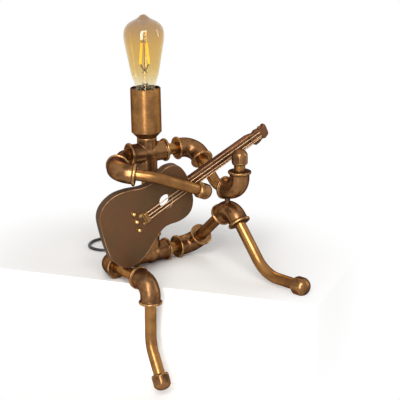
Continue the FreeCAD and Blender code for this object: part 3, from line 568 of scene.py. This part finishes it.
def edit_all(piece: Piece) -> None:
    """Opens a piece in edit mode with all of it selected.

    Args:
        piece: The piece.
    """
    select_only(piece)
    bpy.ops.object.mode_set(mode="EDIT")
    bpy.ops.mesh.select_mode(type="VERT")
    bpy.ops.mesh.select_all(action="SELECT")


def close_edit() -> None:
    """Points all faces outwards and leaves edit mode."""
    bpy.ops.mesh.select_all(action="SELECT")
    bpy.ops.mesh.normals_make_consistent(inside=False)
    bpy.ops.object.mode_set(mode="OBJECT")


def smooth(piece: Piece, angle: float = 35.0) -> None:
    """Shades a piece smooth, with its sharper edges kept.

    Args:
        piece: The piece.
        angle: The largest angle that is smoothed, in degrees.
    """
    select_only(piece)
    bpy.ops.object.shade_smooth_by_angle(angle=math.radians(angle))


def soften_edges(piece: Piece, width: float, segments: int = 2) -> None:
    """Rounds a piece's sharp edges.

    Args:
        piece: The piece.
        width: The rounding in millimetres.
        segments: Steps across it.
    """
    bevel = piece.modifiers.new("edges", "BEVEL")
    bevel.width = width * MM
    bevel.segments = segments
    bevel.limit_method = "ANGLE"
    bevel.angle_limit = EDGE_ANGLE
    apply_modifiers(piece)


def plate(name: str, outline: Sequence[Pair], depth: float) -> Piece:
    """A flat board with a given outline, its front at height 0.

    Args:
        name: The piece's name.
        outline: Corners in millimetres.
        depth: Its thickness in millimetres.

    Returns:
        The board.
    """
    deselect_all()
    bpy.ops.mesh.primitive_circle_add(vertices=len(outline), radius=1.0, fill_type="NGON")
    piece = named(name)
    for vertex, (along, across) in zip(piece.data.vertices, outline):
        vertex.co = (along * MM, across * MM, 0)
    edit_all(piece)
    bpy.ops.mesh.extrude_region_move(TRANSFORM_OT_translate={"value": (0, 0, -depth * MM)})
    close_edit()
    return piece


def bar(name: str, low: Sequence[float], high: Sequence[float]) -> Piece:
    """A square-edged bar between two corners.

    Args:
        name: The piece's name.
        low: The lowest corner in millimetres.
        high: The highest corner in millimetres.

    Returns:
        The bar.
    """
    deselect_all()
    bpy.ops.mesh.primitive_cube_add(size=1, location=[(a + b) / 2 * MM for a, b in zip(low, high)])
    piece = named(name)
    piece.scale = [(b - a) * MM for a, b in zip(low, high)]
    settle(piece, Matrix.Identity(4))
    return piece


def stick(name: str, start: Sequence[float], end: Sequence[float], radius: float, sides: int) -> Piece:
    """A round or many-sided stick between two points.

    Args:
        name: The piece's name.
        start: Where it starts, in millimetres.
        end: Where it ends.
        radius: Its radius.
        sides: How many sides it has.

    Returns:
        The stick.
    """
    deselect_all()
    one, two = Vector(start) * MM, Vector(end) * MM
    bpy.ops.mesh.primitive_cylinder_add(vertices=sides, radius=radius * MM, depth=(two - one).length)
    piece = named(name)
    turn = (two - one).to_track_quat("Z", "Y").to_matrix().to_4x4()
    settle(piece, Matrix.Translation((one + two) / 2) @ turn)
    return piece


def cut_away(piece: Piece, cutter: Piece) -> None:
    """Cuts one piece out of another and removes the cutter.

    Args:
        piece: The piece that is cut.
        cutter: What is cut out of it.
    """
    cut = piece.modifiers.new("cut", "BOOLEAN")
    cut.operation = "DIFFERENCE"
    cut.solver = "EXACT"
    cut.object = cutter
    apply_modifiers(piece)
    bpy.data.objects.remove(cutter)


def joined(name: str, parts: Sequence[Piece]) -> Piece:
    """Joins pieces into one.

    Args:
        name: The joined piece's name.
        parts: The pieces.

    Returns:
        The joined piece.
    """
    select_only(parts[0])
    for part in parts:
        part.select_set(True)
    bpy.ops.object.join()
    parts[0].name = name
    return parts[0]


def spun(name: str, profile: Sequence[Pair], steps: int) -> Piece:
    """A round piece, spun about its own axis from a half outline.

    Args:
        name: The piece's name.
        profile: Heights along the axis and radii, in millimetres.
        steps: Steps round the axis.

    Returns:
        The piece, with its axis along Z.
    """
    mesh = bpy.data.meshes.new(name)
    points = [(radius * MM, 0, height * MM) for height, radius in profile]
    mesh.from_pydata(points, [(n, n + 1) for n in range(len(points) - 1)], [])
    piece = link_piece(name, mesh)
    edit_all(piece)
    bpy.ops.mesh.spin(steps=steps, angle=2 * math.pi, center=(0, 0, 0), axis=(0, 0, 1), use_auto_merge=True)
    bpy.ops.mesh.select_all(action="SELECT")
    bpy.ops.mesh.remove_doubles(threshold=SPIN_MERGE)
    close_edit()
    return piece


def through(knots: Sequence[Pair], steps: int, closed: bool) -> list[Pair]:
    """A smooth line through knots.

    Args:
        knots: The places it goes through.
        steps: Points between two knots.
        closed: Whether it comes back to its start.

    Returns:
        The line's points.
    """
    count = len(knots)
    places = np.array(knots, dtype=float)
    points = []
    for n in range(count if closed else count - 1):
        near = np.arange(n - 1, n + 3)
        before, here, there, after = places[near % count if closed else near.clip(0, count - 1)]
        bow = 2 * before - 5 * here + 4 * there - after
        twist = 3 * here - before - 3 * there + after
        for step in range(steps):
            t = step / steps
            along, across = 0.5 * (2 * here + (there - before) * t + bow * t * t + twist * t ** 3)
            points.append((float(along), float(across)))
    return points if closed else points + [tuple(places[-1])]


def write_values(mesh: bpy.types.Mesh, name: str, domain: str, values: Sequence[float]) -> None:
    """Writes numbers to an attribute of a mesh.

    Args:
        mesh: The mesh.
        name: The attribute's name.
        domain: What carries them, faces or points.
        values: The numbers.
    """
    attribute = mesh.attributes.new(name, "FLOAT", domain)
    attribute.data.foreach_set("value", np.array(values, dtype=np.float32))


def write_rim(piece: Piece, out: Vector) -> None:
    """Marks the rounded edges of a flat piece for wear and a painted highlight.

    Args:
        piece: The piece.
        out: The direction its flat face looks.
    """
    slopes = [abs(face.normal.dot(out)) for face in piece.data.polygons]
    least, most = RIM_SLOPES
    # Rims: wear and a painted highlight; no painted shade.
    write_values(piece.data, "wear_and_sheen", "FACE", [float(least < slope < most) for slope in slopes])
    write_values(piece.data, "painted_shade", "FACE", [0.0] * len(slopes))


def vertex_vectors(mesh: bpy.types.Mesh, kind: str) -> np.ndarray:
    """Reads one vector for each of a mesh's vertices.

    Args:
        mesh: The mesh.
        kind: What is read, co or normal.

    Returns:
        One row for each vertex.
    """
    values = np.empty(len(mesh.vertices) * 3)
    mesh.vertices.foreach_get(kind, values)
    return values.reshape(-1, 3)


def write_wear_sheen_shade(piece: Piece, reach: int, gain: float) -> None:
    """Writes how proud or sunken each point is: proud points are marked for wear and a painted highlight,
    sunken points for painted shade.

    Args:
        piece: A mesh piece.
        reach: Smoothing steps, which widen the marks.
        gain: Strength of the marks.
    """
    mesh = piece.data
    count = len(mesh.vertices)
    places, normals = vertex_vectors(mesh, "co"), vertex_vectors(mesh, "normal")
    pairs = np.empty(len(mesh.edges) * 2, dtype=np.int64)
    mesh.edges.foreach_get("vertices", pairs)
    one, two = pairs.reshape(-1, 2).T
    step = places[two] - places[one]
    length = np.linalg.norm(step, axis=1) + 1e-9
    valence = np.bincount(one, minlength=count) + np.bincount(two, minlength=count)
    bend = (np.bincount(one, (step * normals[one]).sum(1) / length, count)
            + np.bincount(two, (-step * normals[two]).sum(1) / length, count))
    bend = -bend / np.maximum(valence, 1)
    for _ in range(reach):
        around = np.bincount(one, bend[two], count) + np.bincount(two, bend[one], count)
        bend = (1 - WEAR_SHEEN_SHADE_SPREAD) * bend + WEAR_SHEEN_SHADE_SPREAD * around / np.maximum(valence, 1)
    bend = bend - np.median(bend)
    # Proud points: rubbed wear and a painted highlight. Sunken points: painted shade.
    write_values(mesh, "wear_and_sheen", "POINT", np.clip(bend * gain, 0, 1))
    write_values(mesh, "painted_shade", "POINT", np.clip(-bend * gain, 0, 1))


def fit(piece: Piece, material: Material, body: Body, slot: str, *nodes: str) -> None:
    """Dresses a finished piece and says what it rides on and stands for.

    Args:
        piece: The piece.
        material: Its material.
        body: The body it rides on.
        slot: Not used.
        nodes: The CAD nodes that it replaces.
    """
    dress(piece, material)
    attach(piece, body.value)
    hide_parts(*nodes)
    LOG.info("made %s", piece.name)


def seat(place: Matrix, body: Body, rim: bool, rows: Iterable[tuple[Piece, Material, str, str]]) -> None:
    """Moves new pieces to their place on the lamp and fits them.

    Args:
        place: From the pieces' own frame to the lamp's.
        body: The body they ride on.
        rim: Whether their edges are marked for wear and a painted highlight.
        rows: Each piece, its material, its slot and the CAD node it replaces.
    """
    for piece, material, slot, node in rows:
        settle(piece, place)
        if rim:
            write_rim(piece, place.col[2].to_3d())
        smooth(piece)
        fit(piece, material, body, slot, node)


@dataclass
class Figure:
    """The cast tees, elbows and caps, rubbed bright on their softened edges as wear and a painted highlight
    and darkened in their hollows as painted shade, and the tubes between them.
    """

    grain: float = 0.8 * MM
    relax_steps: int = 5
    reach: int = 2
    gain: float = 5.0
    cap_gain: float = 9.0
    cast: tuple[str, ...] = (
        "pelvis_tee", "chest_cross", "left_hip_elbow", "left_knee_elbow", "right_hip_elbow",
        "right_knee_elbow", "left_shoulder_elbow", "left_hand_elbow", "right_shoulder_elbow",
        "left_foot_cap", "left_hand_cap", "right_foot_cap", "right_hand_cap")
    moving: tuple[tuple[str, Body], ...] = (
        ("right_shoulder_elbow", Body.RIGHT_ARM), ("right_hand_cap", Body.RIGHT_ARM),
        ("right_foot_cap", Body.RIGHT_SHIN))
    tube_endings: tuple[str, ...] = ("_tube", "_nipple", "_pipe", "_cup")

    def build(self) -> None:
        """Makes a softened copy of each cast fitting and dresses the tubes."""
        material = CAST.material(True)
        for node in self.cast:
            piece = merged_copy(node, node + "_cast")
            soften = piece.modifiers.new("soften", "REMESH")
            soften.mode = "VOXEL"
            soften.voxel_size = self.grain
            relax = piece.modifiers.new("relax", "SMOOTH")
            relax.iterations = self.relax_steps
            apply_modifiers(piece)
            for face in piece.data.polygons:
                face.use_smooth = True
            write_wear_sheen_shade(piece, self.reach, self.cap_gain if node.endswith("cap") else self.gain)
            fit(piece, material, dict(self.moving).get(node, Body.FIGURE), "cast_bronze", node)
        dress_nodes([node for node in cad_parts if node.endswith(self.tube_endings)], TUBE.material())


@dataclass
class Guitar:
    """The guitar: a thick board with a hole, a neck, a head and its hardware.

    Its own frame has X along the neck, Y across it and Z out of the face, with the origin near the
    sound hole. All sizes are in millimetres.
    """

    origin: Point = (-22.366, -79.044, 123.374)
    turn: float = math.radians(10)
    tilt: float = math.radians(28.3)
    depth: float = 17.0
    outline: tuple[Pair, ...] = (
        (-4, 43.6), (-22, 46.8), (-44, 57.0), (-66, 62.4), (-88, 58.6), (-103, 46.5), (-111, 24),
        (-117.5, -6), (-118.5, -29), (-106.5, -50.2), (-86, -55.8), (-62, -49.3), (-40, -38.2), (-18, -32.0),
        (8, -38.4), (28, -35.8), (41.5, -21), (48, 2), (51.2, 24), (45.5, 43.5), (28, 51.4), (10, 47.4))
    hole_at: Pair = (1.7, 4.1)
    hole_radius: float = 11.2
    board_edge: float = 1.2
    neck_low: float = -1.0
    neck_high: float = 13.5
    neck_depth: float = 12.0
    neck_start: float = 46.0
    neck_end: float = 170.0
    neck_edge: float = 0.7
    neck_wall: float = 2.0
    channel_from: float = 8.0
    rod_radius: float = 2.15
    rod_at: Pair = (-3.2, -5.0)
    rod_from: float = 1.5
    rib_pitch: float = 1.7
    rib_depth: float = 0.45
    head: tuple[Pair, ...] = (
        (168.5, -1), (171.8, -4), (175.1, -7.2), (182.6, -6.6), (188.8, -4.2), (193.8, -6.3), (200.2, -3.9),
        (202.4, -1.4), (203.2, 6), (203.6, 13.6), (200.5, 14.0), (194.5, 11.6), (190, 12.2), (184.5, 13.4),
        (179, 11.2), (172, 13.4), (168.5, 13.4))
    head_depth: float = 10.0
    head_edge: float = 0.6
    recess: tuple[Point, Point] = ((179.5, 4.4, -3.2), (186, 10.4, 2))
    peg_nut: tuple[Point, Point] = ((193.2, 11.4, -4.2), (193.2, 15.2, -4.2))
    peg_nut_radius: float = 3.1
    fine_edge: float = 0.35
    bridge: tuple[Point, Point] = ((-41.4, -6.6, -SINK), (-34.6, 10.8, 5.2))
    bridge_edge: float = 1.7
    bridge_foot: tuple[Point, Point] = ((-43.2, -7.4, -SINK), (-33.6, 11.4, 1.0))
    nuts: tuple[Four, ...] = ((-46.4, 10.6, 3.4, 3.3), (-46.4, -4.4, 2.0, 2.2))
    nut_edge: float = 0.4
    stud_proud: float = 1.1
    nut_block: tuple[Point, Point] = ((169.5, -0.6, -SINK), (172.5, 12.1, 3.0))
    nut_block_edge: float = 0.5
    strings: tuple[Four, ...] = ((-38, 8.4, 188, 9.2), (-38, 2.5, 188, 2.9), (-38, -3.4, 186, 0.3))
    string_height: float = 2.3
    string_radius: float = 0.8
    anchor_radius: float = 1.1
    anchor_low: float = -0.4
    anchor_proud: float = 0.9
    balls: tuple[Pair, ...] = ((-54.1, 19.4), (-56.1, 5.6), (-59, -8.8))
    ball_radius: float = 3.5
    collar_height: float = 0.8
    collar_share: float = 0.92
    collar_edge: float = 0.25

    def place(self) -> Matrix:
        """From the guitar's own frame to the lamp's.

        Returns:
            The matrix, in metres.
        """
        out = Vector((-math.sin(self.turn), -math.cos(self.turn), 0))
        level = Vector((math.cos(self.turn), -math.sin(self.turn), 0))
        along = level * math.cos(self.tilt) + Vector((0, 0, math.sin(self.tilt)))
        axes = Matrix((along, out.cross(along), out)).transposed().to_4x4()
        return Matrix.Translation(Vector(self.origin) * MM) @ axes

    def build(self) -> None:
        """Makes and dresses the guitar."""
        place = self.place()
        bronze = NECK.material(True)
        seat(place, Body.FIGURE, True, (
            (self._body(), BOARD.material(True), "guitar_brown", "guitar_body"),
            (self._neck(), bronze, "neck_bronze", "guitar_neck"),
            (self._head(), bronze, "neck_bronze", "guitar_head")))
        plain_bronze = NECK.material()
        seat(place, Body.FIGURE, False, (
            (self._rod(), plain_bronze, "neck_bronze", "guitar_neck_rod"),
            (self._bridge(), GOLD.material(), "neck_bronze", "guitar_bridge"),
            (self._nuts(), NUT.material(), "nut_steel", "guitar_bridge_nuts"),
            (self._nut_bar(), plain_bronze, "neck_bronze", "guitar_nut_bar"),
            (self._strings(), STRING.material(), "string_steel", "guitar_strings"),
            (self._balls(), BRASS.material(), "ball_brass", "guitar_balls")))
        dress_nodes(["left_hand_weld"], plain_bronze)

    def _body(self) -> Piece:
        """The board with its hole, softened at its edges."""
        board = plate("guitar_board", through(self.outline, 9, True), self.depth)
        front, back = (*self.hole_at, CUT_MARGIN), (*self.hole_at, -self.depth - CUT_MARGIN)
        cut_away(board, stick("hole_cutter", front, back, self.hole_radius, 64))
        soften_edges(board, self.board_edge)
        return board

    def _neck(self) -> Piece:
        """The square-edged neck, channelled along its back."""
        wall = self.neck_wall
        neck = bar("guitar_neck_bar", (self.neck_start, self.neck_low, -self.neck_depth),
                   (self.neck_end, self.neck_high, 0))
        low = (self.neck_start + self.channel_from, self.neck_low + wall, -self.neck_depth - wall)
        high = (self.neck_end - wall, self.neck_high - wall, -wall)
        cut_away(neck, bar("channel_cutter", low, high))
        soften_edges(neck, self.neck_edge)
        return neck

    def _head(self) -> Piece:
        """The stepped head plate with its square recess and its peg nut."""
        head = plate("guitar_head_plate", self.head, self.head_depth)
        cut_away(head, bar("recess_cutter", *self.recess))
        soften_edges(head, self.head_edge)
        nut = stick("peg_nut", *self.peg_nut, self.peg_nut_radius, 6)
        soften_edges(nut, self.fine_edge)
        return joined("guitar_head_plate", [head, nut])

    def _rod(self) -> Piece:
        """The slim threaded rod along the lower side of the neck."""
        pitch, valley = self.rib_pitch, self.rod_radius - self.rib_depth
        count = int((self.neck_end - self.neck_start) / pitch)
        profile = [(0.0, 0.0)]
        for rib in range(count):
            profile += [(rib * pitch, valley), ((rib + 0.5) * pitch, self.rod_radius)]
        profile += [(count * pitch, valley), (count * pitch, 0.0)]
        rod = spun("guitar_threaded_rod", profile, 20)
        rod.matrix_basis = (Matrix.Translation(Vector((self.neck_start + self.rod_from, *self.rod_at)) * MM)
                            @ Matrix.Rotation(math.pi / 2, 4, "Y"))
        return rod

    def _bridge(self) -> Piece:
        """The bridge: a rounded bar across the board, on a thin foot."""
        top = bar("guitar_bridge_bar", *self.bridge)
        soften_edges(top, self.bridge_edge, 4)
        foot = bar("bridge_foot", *self.bridge_foot)
        soften_edges(foot, self.fine_edge)
        return joined("guitar_bridge_bar", [top, foot])

    def _nuts(self) -> Piece:
        """The nut beside the bridge, with its stud, and a smaller one at the bar's other end."""
        parts = []
        for x, y, high, radius in self.nuts:
            nut = stick("nut", (x, y, -SINK), (x, y, high), radius, 6)
            soften_edges(nut, self.nut_edge)
            parts += [nut, stick("stud", (x, y, 0), (x, y, high + self.stud_proud), radius / 2, 20)]
        return joined("guitar_bridge_studs", parts)

    def _nut_bar(self) -> Piece:
        """The bar that the strings cross before the head."""
        block = bar("guitar_nut_block", *self.nut_block)
        soften_edges(block, self.nut_block_edge)
        return block

    def _strings(self) -> Piece:
        """Three strings from the bridge to the head, each let down to its anchor."""
        height = self.string_height
        parts = []
        for start, low, end, high in self.strings:
            parts += [stick("string", (start, low, height), (end, high, height), self.string_radius, 12),
                      stick("anchor", (end, high, self.anchor_low), (end, high, height + self.anchor_proud),
                            self.anchor_radius, 14)]
        return joined("guitar_wound_strings", parts)

    def _balls(self) -> Piece:
        """Three brass balls, each on a thin collar."""
        radius, height = self.ball_radius, self.collar_height
        parts = []
        for x, y in self.balls:
            deselect_all()
            bpy.ops.mesh.primitive_uv_sphere_add(segments=28, ring_count=16, radius=radius * MM,
                                                 location=(x * MM, y * MM, (radius - height) * MM))
            ball = named("ball")
            settle(ball, Matrix.Identity(4))
            collar = stick("collar", (x, y, -SINK), (x, y, height), radius * self.collar_share, 28)
            soften_edges(collar, self.collar_edge)
            parts += [ball, collar]
        return joined("guitar_brass_balls", parts)


@dataclass
class Bulb:
    """The filament bulb and its holder.

    Heights run along the trunk's axis from the chest. All sizes are in millimetres.
    """

    foot: Point = (0.0, 6.043, 184.89)
    axis: Point = (0.0, 0.036294, 0.999341)
    turn: float = math.radians(-30)
    wall: float = 0.9
    inner_least: float = 2.5
    inner_close: float = 0.6
    stem_tip: float = 131.8
    filament_foot: Pair = (7.0, 142.6)
    filament_top: Pair = (4.0, 176.0)
    filament_radius: float = 1.7
    filament_edge: float = 0.5
    wire_radius: float = 0.45
    wire_sink: float = 1.5
    wire_lap: float = 0.4
    wire_spread: float = 1.2
    crown: float = 4.0
    hook_root: Point = (2.0, 1.4, -3.5)
    hook_bend: Point = (4.6, 1.4, -3.0)
    outline: tuple[Pair, ...] = (
        (100.8, 11.3), (105.8, 16.4), (114, 18.0), (126, 21.7), (140, 24.5), (155, 27.2), (168, 29.4),
        (178, 31.2), (186, 32.0), (193, 31.9), (199, 30.6), (204, 27.6), (208.5, 22.8), (212, 16.8),
        (215, 10.8), (218, 7.0), (220.6, 4.2), (221.8, 1.6), (222, 0.0))

    def build(self) -> None:
        """Makes the blown glass and dresses the rest of the bulb and the holder."""
        glass = self._glass()
        smooth(glass, 60)
        fit(glass, AMBER.material(), Body.BULB, "bulb_amber", "bulb_glass")
        dress_nodes(["bulb_stem"], STEM.material())
        seat(self.place(), Body.BULB, False, (
            (self._filaments(), FILAMENT_GLOW.material(), "filament_yellow", "bulb_filaments"),
            (self._wires(), WIRE.material(), "wire_metal", "bulb_wires")))
        dress_nodes(["bulb_cap", "holder_shell"], CAP_BRASS.material())
        dress_nodes(["bulb_contact", "holder_contact"], CONTACT.material())
        dress_nodes(["holder_body"], HOLDER.material())

    def _glass(self) -> Piece:
        """The blown bulb: an outer skin, and an inner one that is a wall's thickness smaller."""
        outer = through(self.outline, 4, False)
        inner = []
        for n in range(len(outer) - 1):
            before, after = outer[max(n - 1, 0)], outer[n + 1]
            rise, run = after[0] - before[0], after[1] - before[1]
            length = math.hypot(rise, run)
            height = outer[n][0] + self.wall * run / length
            radius = outer[n][1] - self.wall * rise / length
            if radius > self.inner_least:
                inner.append((max(height, self.outline[0][0]), radius))
        inner.append((inner[-1][0] + self.inner_close, 0.0))
        glass = spun("bulb_blown_glass", [*reversed(inner), *outer], 72)
        settle(glass, self.place())
        return glass

    def _filaments(self) -> Piece:
        """Two filaments that lean together towards their tops."""
        (wide, low), (narrow, high) = self.filament_foot, self.filament_top
        parts = []
        for side in (-1, 1):
            foot, top = (side * wide, 0, low), (side * narrow, 0, high)
            rod = stick("filament", foot, top, self.filament_radius, 20)
            soften_edges(rod, self.filament_edge)
            parts.append(rod)
        return joined("bulb_led_filaments", parts)

    def _wires(self) -> Piece:
        """The wires from the stem's tip to the filaments' feet, and the ones that join their tops."""
        (wide, low), (narrow, high) = self.filament_foot, self.filament_top
        root, top, foot = self.stem_tip - self.wire_sink, (0, 0, high + self.crown), low + self.wire_lap
        spans = [((0, 0, root), top)]
        for side in (-1, 1):
            bend = (-side * self.hook_bend[0], self.hook_bend[1], low + self.hook_bend[2])
            start = (side * self.hook_root[0], self.hook_root[1], self.stem_tip + self.hook_root[2])
            spans += [((side * self.wire_spread, 0, root), (side * wide, 0, foot)), (start, bend),
                      (bend, (-side * wide, 0, foot)), ((side * narrow, 0, high - self.wire_lap), top)]
        parts = [stick("wire", start, end, self.wire_radius, 10) for start, end in spans]
        return joined("bulb_support_wires", parts)

    def place(self) -> Matrix:
        """From the bulb's own frame to the lamp's.

        Returns:
            The matrix, in metres.
        """
        up = Vector(self.axis).normalized()
        back = up.cross(Vector((math.cos(self.turn), math.sin(self.turn), 0))).normalized()
        axes = Matrix((back.cross(up), back, up)).transposed().to_4x4()
        return Matrix.Translation(Vector(self.foot) * MM) @ axes


@dataclass
class MainsCord:
    """The black flex: its route, its coil, its tie and its plug."""

    radius: float = 2.5 * MM
    route: tuple[Point, ...] = (
        (0, 31.75, 18.5), (0, 52, 18.5), (-4, 71, 10.5), (-15, 85, 2.5), (-37, 99, 2.5),
        (-40, 125, 2.5), (-19, 145, 3.3), (8, 145, 3.3))
    coil_centre: Pair = (38.0, 105.5)
    coil_start: float = 39.5
    coil_pitch: float = 5.5
    turns_in: float = 3.5
    turns: float = 7.944
    climb: float = 0.5
    swell: float = 1.2
    lift: float = 3.3
    points_a_turn: int = 16
    corner_share: float = 0.75
    plug_run: float = 34.0
    plug_angle: float = math.radians(20)
    plug_height: float = 6.85
    plug_dip: float = 0.6
    length: float = 1.7177

    def coil_place(self, turn: float) -> Point:
        """A point on the coil after a number of turns.

        Args:
            turn: Turns from the far side, clockwise.

        Returns:
            The point in millimetres.
        """
        reverse_end = self.turns_in + self.climb
        height = 0.0
        if turn <= self.turns_in:
            radius = self.coil_start - self.coil_pitch * turn
        elif turn < reverse_end:
            part = (turn - self.turns_in) / self.climb
            radius = (self.coil_start - self.coil_pitch * self.turns_in
                      - self.swell * math.sin(math.pi * part))
            height = self.coil_pitch * (1 - math.cos(math.pi * part)) / 2
        else:
            radius = self.coil_start - self.coil_pitch * (self.turns_in - (turn - reverse_end))
            height = self.coil_pitch
        angle = math.radians(90 - 360 * turn)
        radius /= math.cos(math.pi / self.points_a_turn) ** self.corner_share
        return (self.coil_centre[0] + radius * math.cos(angle),
                self.coil_centre[1] + radius * math.sin(angle), self.lift + height)

    def points(self) -> list[Point]:
        """All control points of the cord, from its exit to the plug.

        Returns:
            The points in millimetres.
        """
        count = round(self.turns * self.points_a_turn)
        coil = [self.coil_place(self.turns * step / count) for step in range(count + 1)]
        last = coil[-1]
        end = (last[0] + self.plug_run * math.cos(self.plug_angle),
               last[1] + self.plug_run * math.sin(self.plug_angle), self.plug_height)
        middle = ((last[0] + end[0]) / 2, (last[1] + end[1]) / 2, last[2] - self.plug_dip)
        return [*self.route, *coil, middle, end]

    def build(self) -> None:
        """Makes the cord and dresses what is on it."""
        data = bpy.data.curves.new("mains_flex", "CURVE")
        data.dimensions = "3D"
        data.bevel_depth = self.radius
        data.bevel_resolution = 5
        data.use_fill_caps = True
        spline = data.splines.new("NURBS")
        points = self.points()
        spline.points.add(len(points) - 1)
        for point, place in zip(spline.points, points):
            point.co = (*(value * MM for value in place), 1)
        spline.order_u = 3
        spline.use_endpoint_u = True
        spline.resolution_u = 4
        flex = link_piece("mains_flex", data)
        data.materials.append(FLEX.material())
        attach(flex, Body.FIGURE.value)
        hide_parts("cord_lead", "cord_coil")
        for node, finish in (("cord_grommet", BUSH), ("coil_tie", TIE), ("plug_body", PLUG),
                             ("plug_pins", PIN)):
            dress_nodes([node], finish.material())


@dataclass
class Studio:
    """A pale block to sit on, a pale floor, soft light and a plain white surround.

    All sizes are in metres. Each lamp is a name, a place, a width and height, and a power in watts.
    """

    edge_normal: Pair = (-0.821, -0.571)
    edge_distance: float = 0.104
    block_depth: float = 0.50
    block_width: float = 0.62
    block_edge: float = 0.003
    floor_size: float = 12
    floor_height: float = -0.158
    white_from: float = 0.17
    white_at: float = 0.36
    surround_light: float = 0.42
    aim: Point = (0.02, -0.06, 0.13)
    lamps: tuple[tuple[str, Point, Pair, float], ...] = (
        ("key", (-1.62, -1.52, 0.75), (0.55, 1.9), 40.0), ("top", (-1.2, -1.7, 1.9), (1.3, 0.8), 40.0),
        ("fill", (1.9, -1.3, 0.8), (0.4, 1.6), 8.0), ("rim", (0.9, 1.6, 1.7), (1.0, 1.0), 8.0))

    def build(self) -> None:
        """Builds the stage and the lights."""
        material = self._surface()
        deselect_all()
        bpy.ops.mesh.primitive_plane_add(size=self.floor_size, location=(0, 0, self.floor_height))
        floor = named("floor")
        dress(floor, material)
        normal = Vector((*self.edge_normal, 0)).normalized()
        middle = normal * (self.edge_distance - self.block_depth / 2)
        bpy.ops.mesh.primitive_cube_add(size=1)
        block = named("seat_block")
        block.dimensions = (self.block_depth, self.block_width, -self.floor_height)
        block.rotation_euler = (0, 0, math.atan2(normal.y, normal.x))
        block.location = (middle.x, middle.y, self.floor_height / 2)
        bevel = block.modifiers.new("edge", "BEVEL")
        bevel.width = self.block_edge
        bevel.segments = 3
        dress(block, material)
        self._world()
        for lamp in self.lamps:
            self._lamp(*lamp)

    def _seen(self, tree: Tree) -> Socket:
        """One for rays from the camera, and for those that metal and glass send on.

        Args:
            tree: The node tree it is made in.

        Returns:
            The mask.
        """
        path = add_node(tree, "LightPath", {})
        mask = path.outputs["Is Camera Ray"]
        for name in ("Is Glossy Ray", "Is Transmission Ray"):
            mask = worked_out(tree, "MAXIMUM", mask, path.outputs[name])
        return mask

    def _surface(self) -> Material:
        """A pale surface that keeps the shadow near the figure and is plain white further off.

        Returns:
            The material.
        """
        made, tree, shader = fresh_material("pale_stage")
        feed(tree, shader, {"Base Color": colour(236, 234, 231), "Roughness": 0.85})
        place = tree.nodes.new("ShaderNodeNewGeometry").outputs["Position"]
        distance = add_node(tree, "VectorMath", {0: place}, operation="LENGTH")
        far = add_node(tree, "MapRange", {"Value": distance.outputs["Value"], "From Min": self.white_from,
                                          "From Max": self.white_at}, interpolation_type="SMOOTHSTEP")
        share = worked_out(tree, "MULTIPLY", far.outputs["Result"], self._seen(tree))
        white = add_node(tree, "Emission", {})
        mix = add_node(tree, "MixShader", {0: share, 1: shader.outputs[0], 2: white.outputs[0]})
        feed(tree, tree.nodes["Material Output"], {"Surface": mix.outputs[0]})
        return made

    def _world(self) -> None:
        """White to the camera and in reflections, softer on the object."""
        world = bpy.data.worlds.new("surround")
        bpy.context.scene.world = world
        world.use_nodes = True
        tree = world.node_tree
        strength = add_node(tree, "MapRange", {"Value": self._seen(tree), "To Min": self.surround_light,
                                               "To Max": 1.0})
        feed(tree, tree.nodes["Background"], {"Strength": strength.outputs["Result"],
                                              "Color": (1, 1, 1, 1)})

    def _lamp(self, name: str, place: Point, size: Pair, power: float) -> None:
        """A soft lamp that points at the figure.

        Args:
            name: The lamp's name.
            place: Where it stands.
            size: Its width and height.
            power: Its power in watts.
        """
        data = bpy.data.lights.new(name, "AREA")
        data.shape = "RECTANGLE"
        data.size, data.size_y = size
        data.energy = power
        lamp = link_piece(name, data)
        lamp.location = place
        lamp.rotation_mode = "QUATERNION"
        lamp.rotation_quaternion = (Vector(self.aim) - Vector(place)).to_track_quat("-Z", "Y")


def main() -> None:
    """Builds the whole scene."""
    logging.basicConfig(level=logging.INFO, format="%(message)s")
    bpy.context.scene.view_settings.view_transform = "Standard"
    deselect_all()
    View().build()
    MainsCord().build()
    Figure().build()
    Guitar().build()
    Bulb().build()
    Studio().build()


if __name__ == "__main__":
    main()
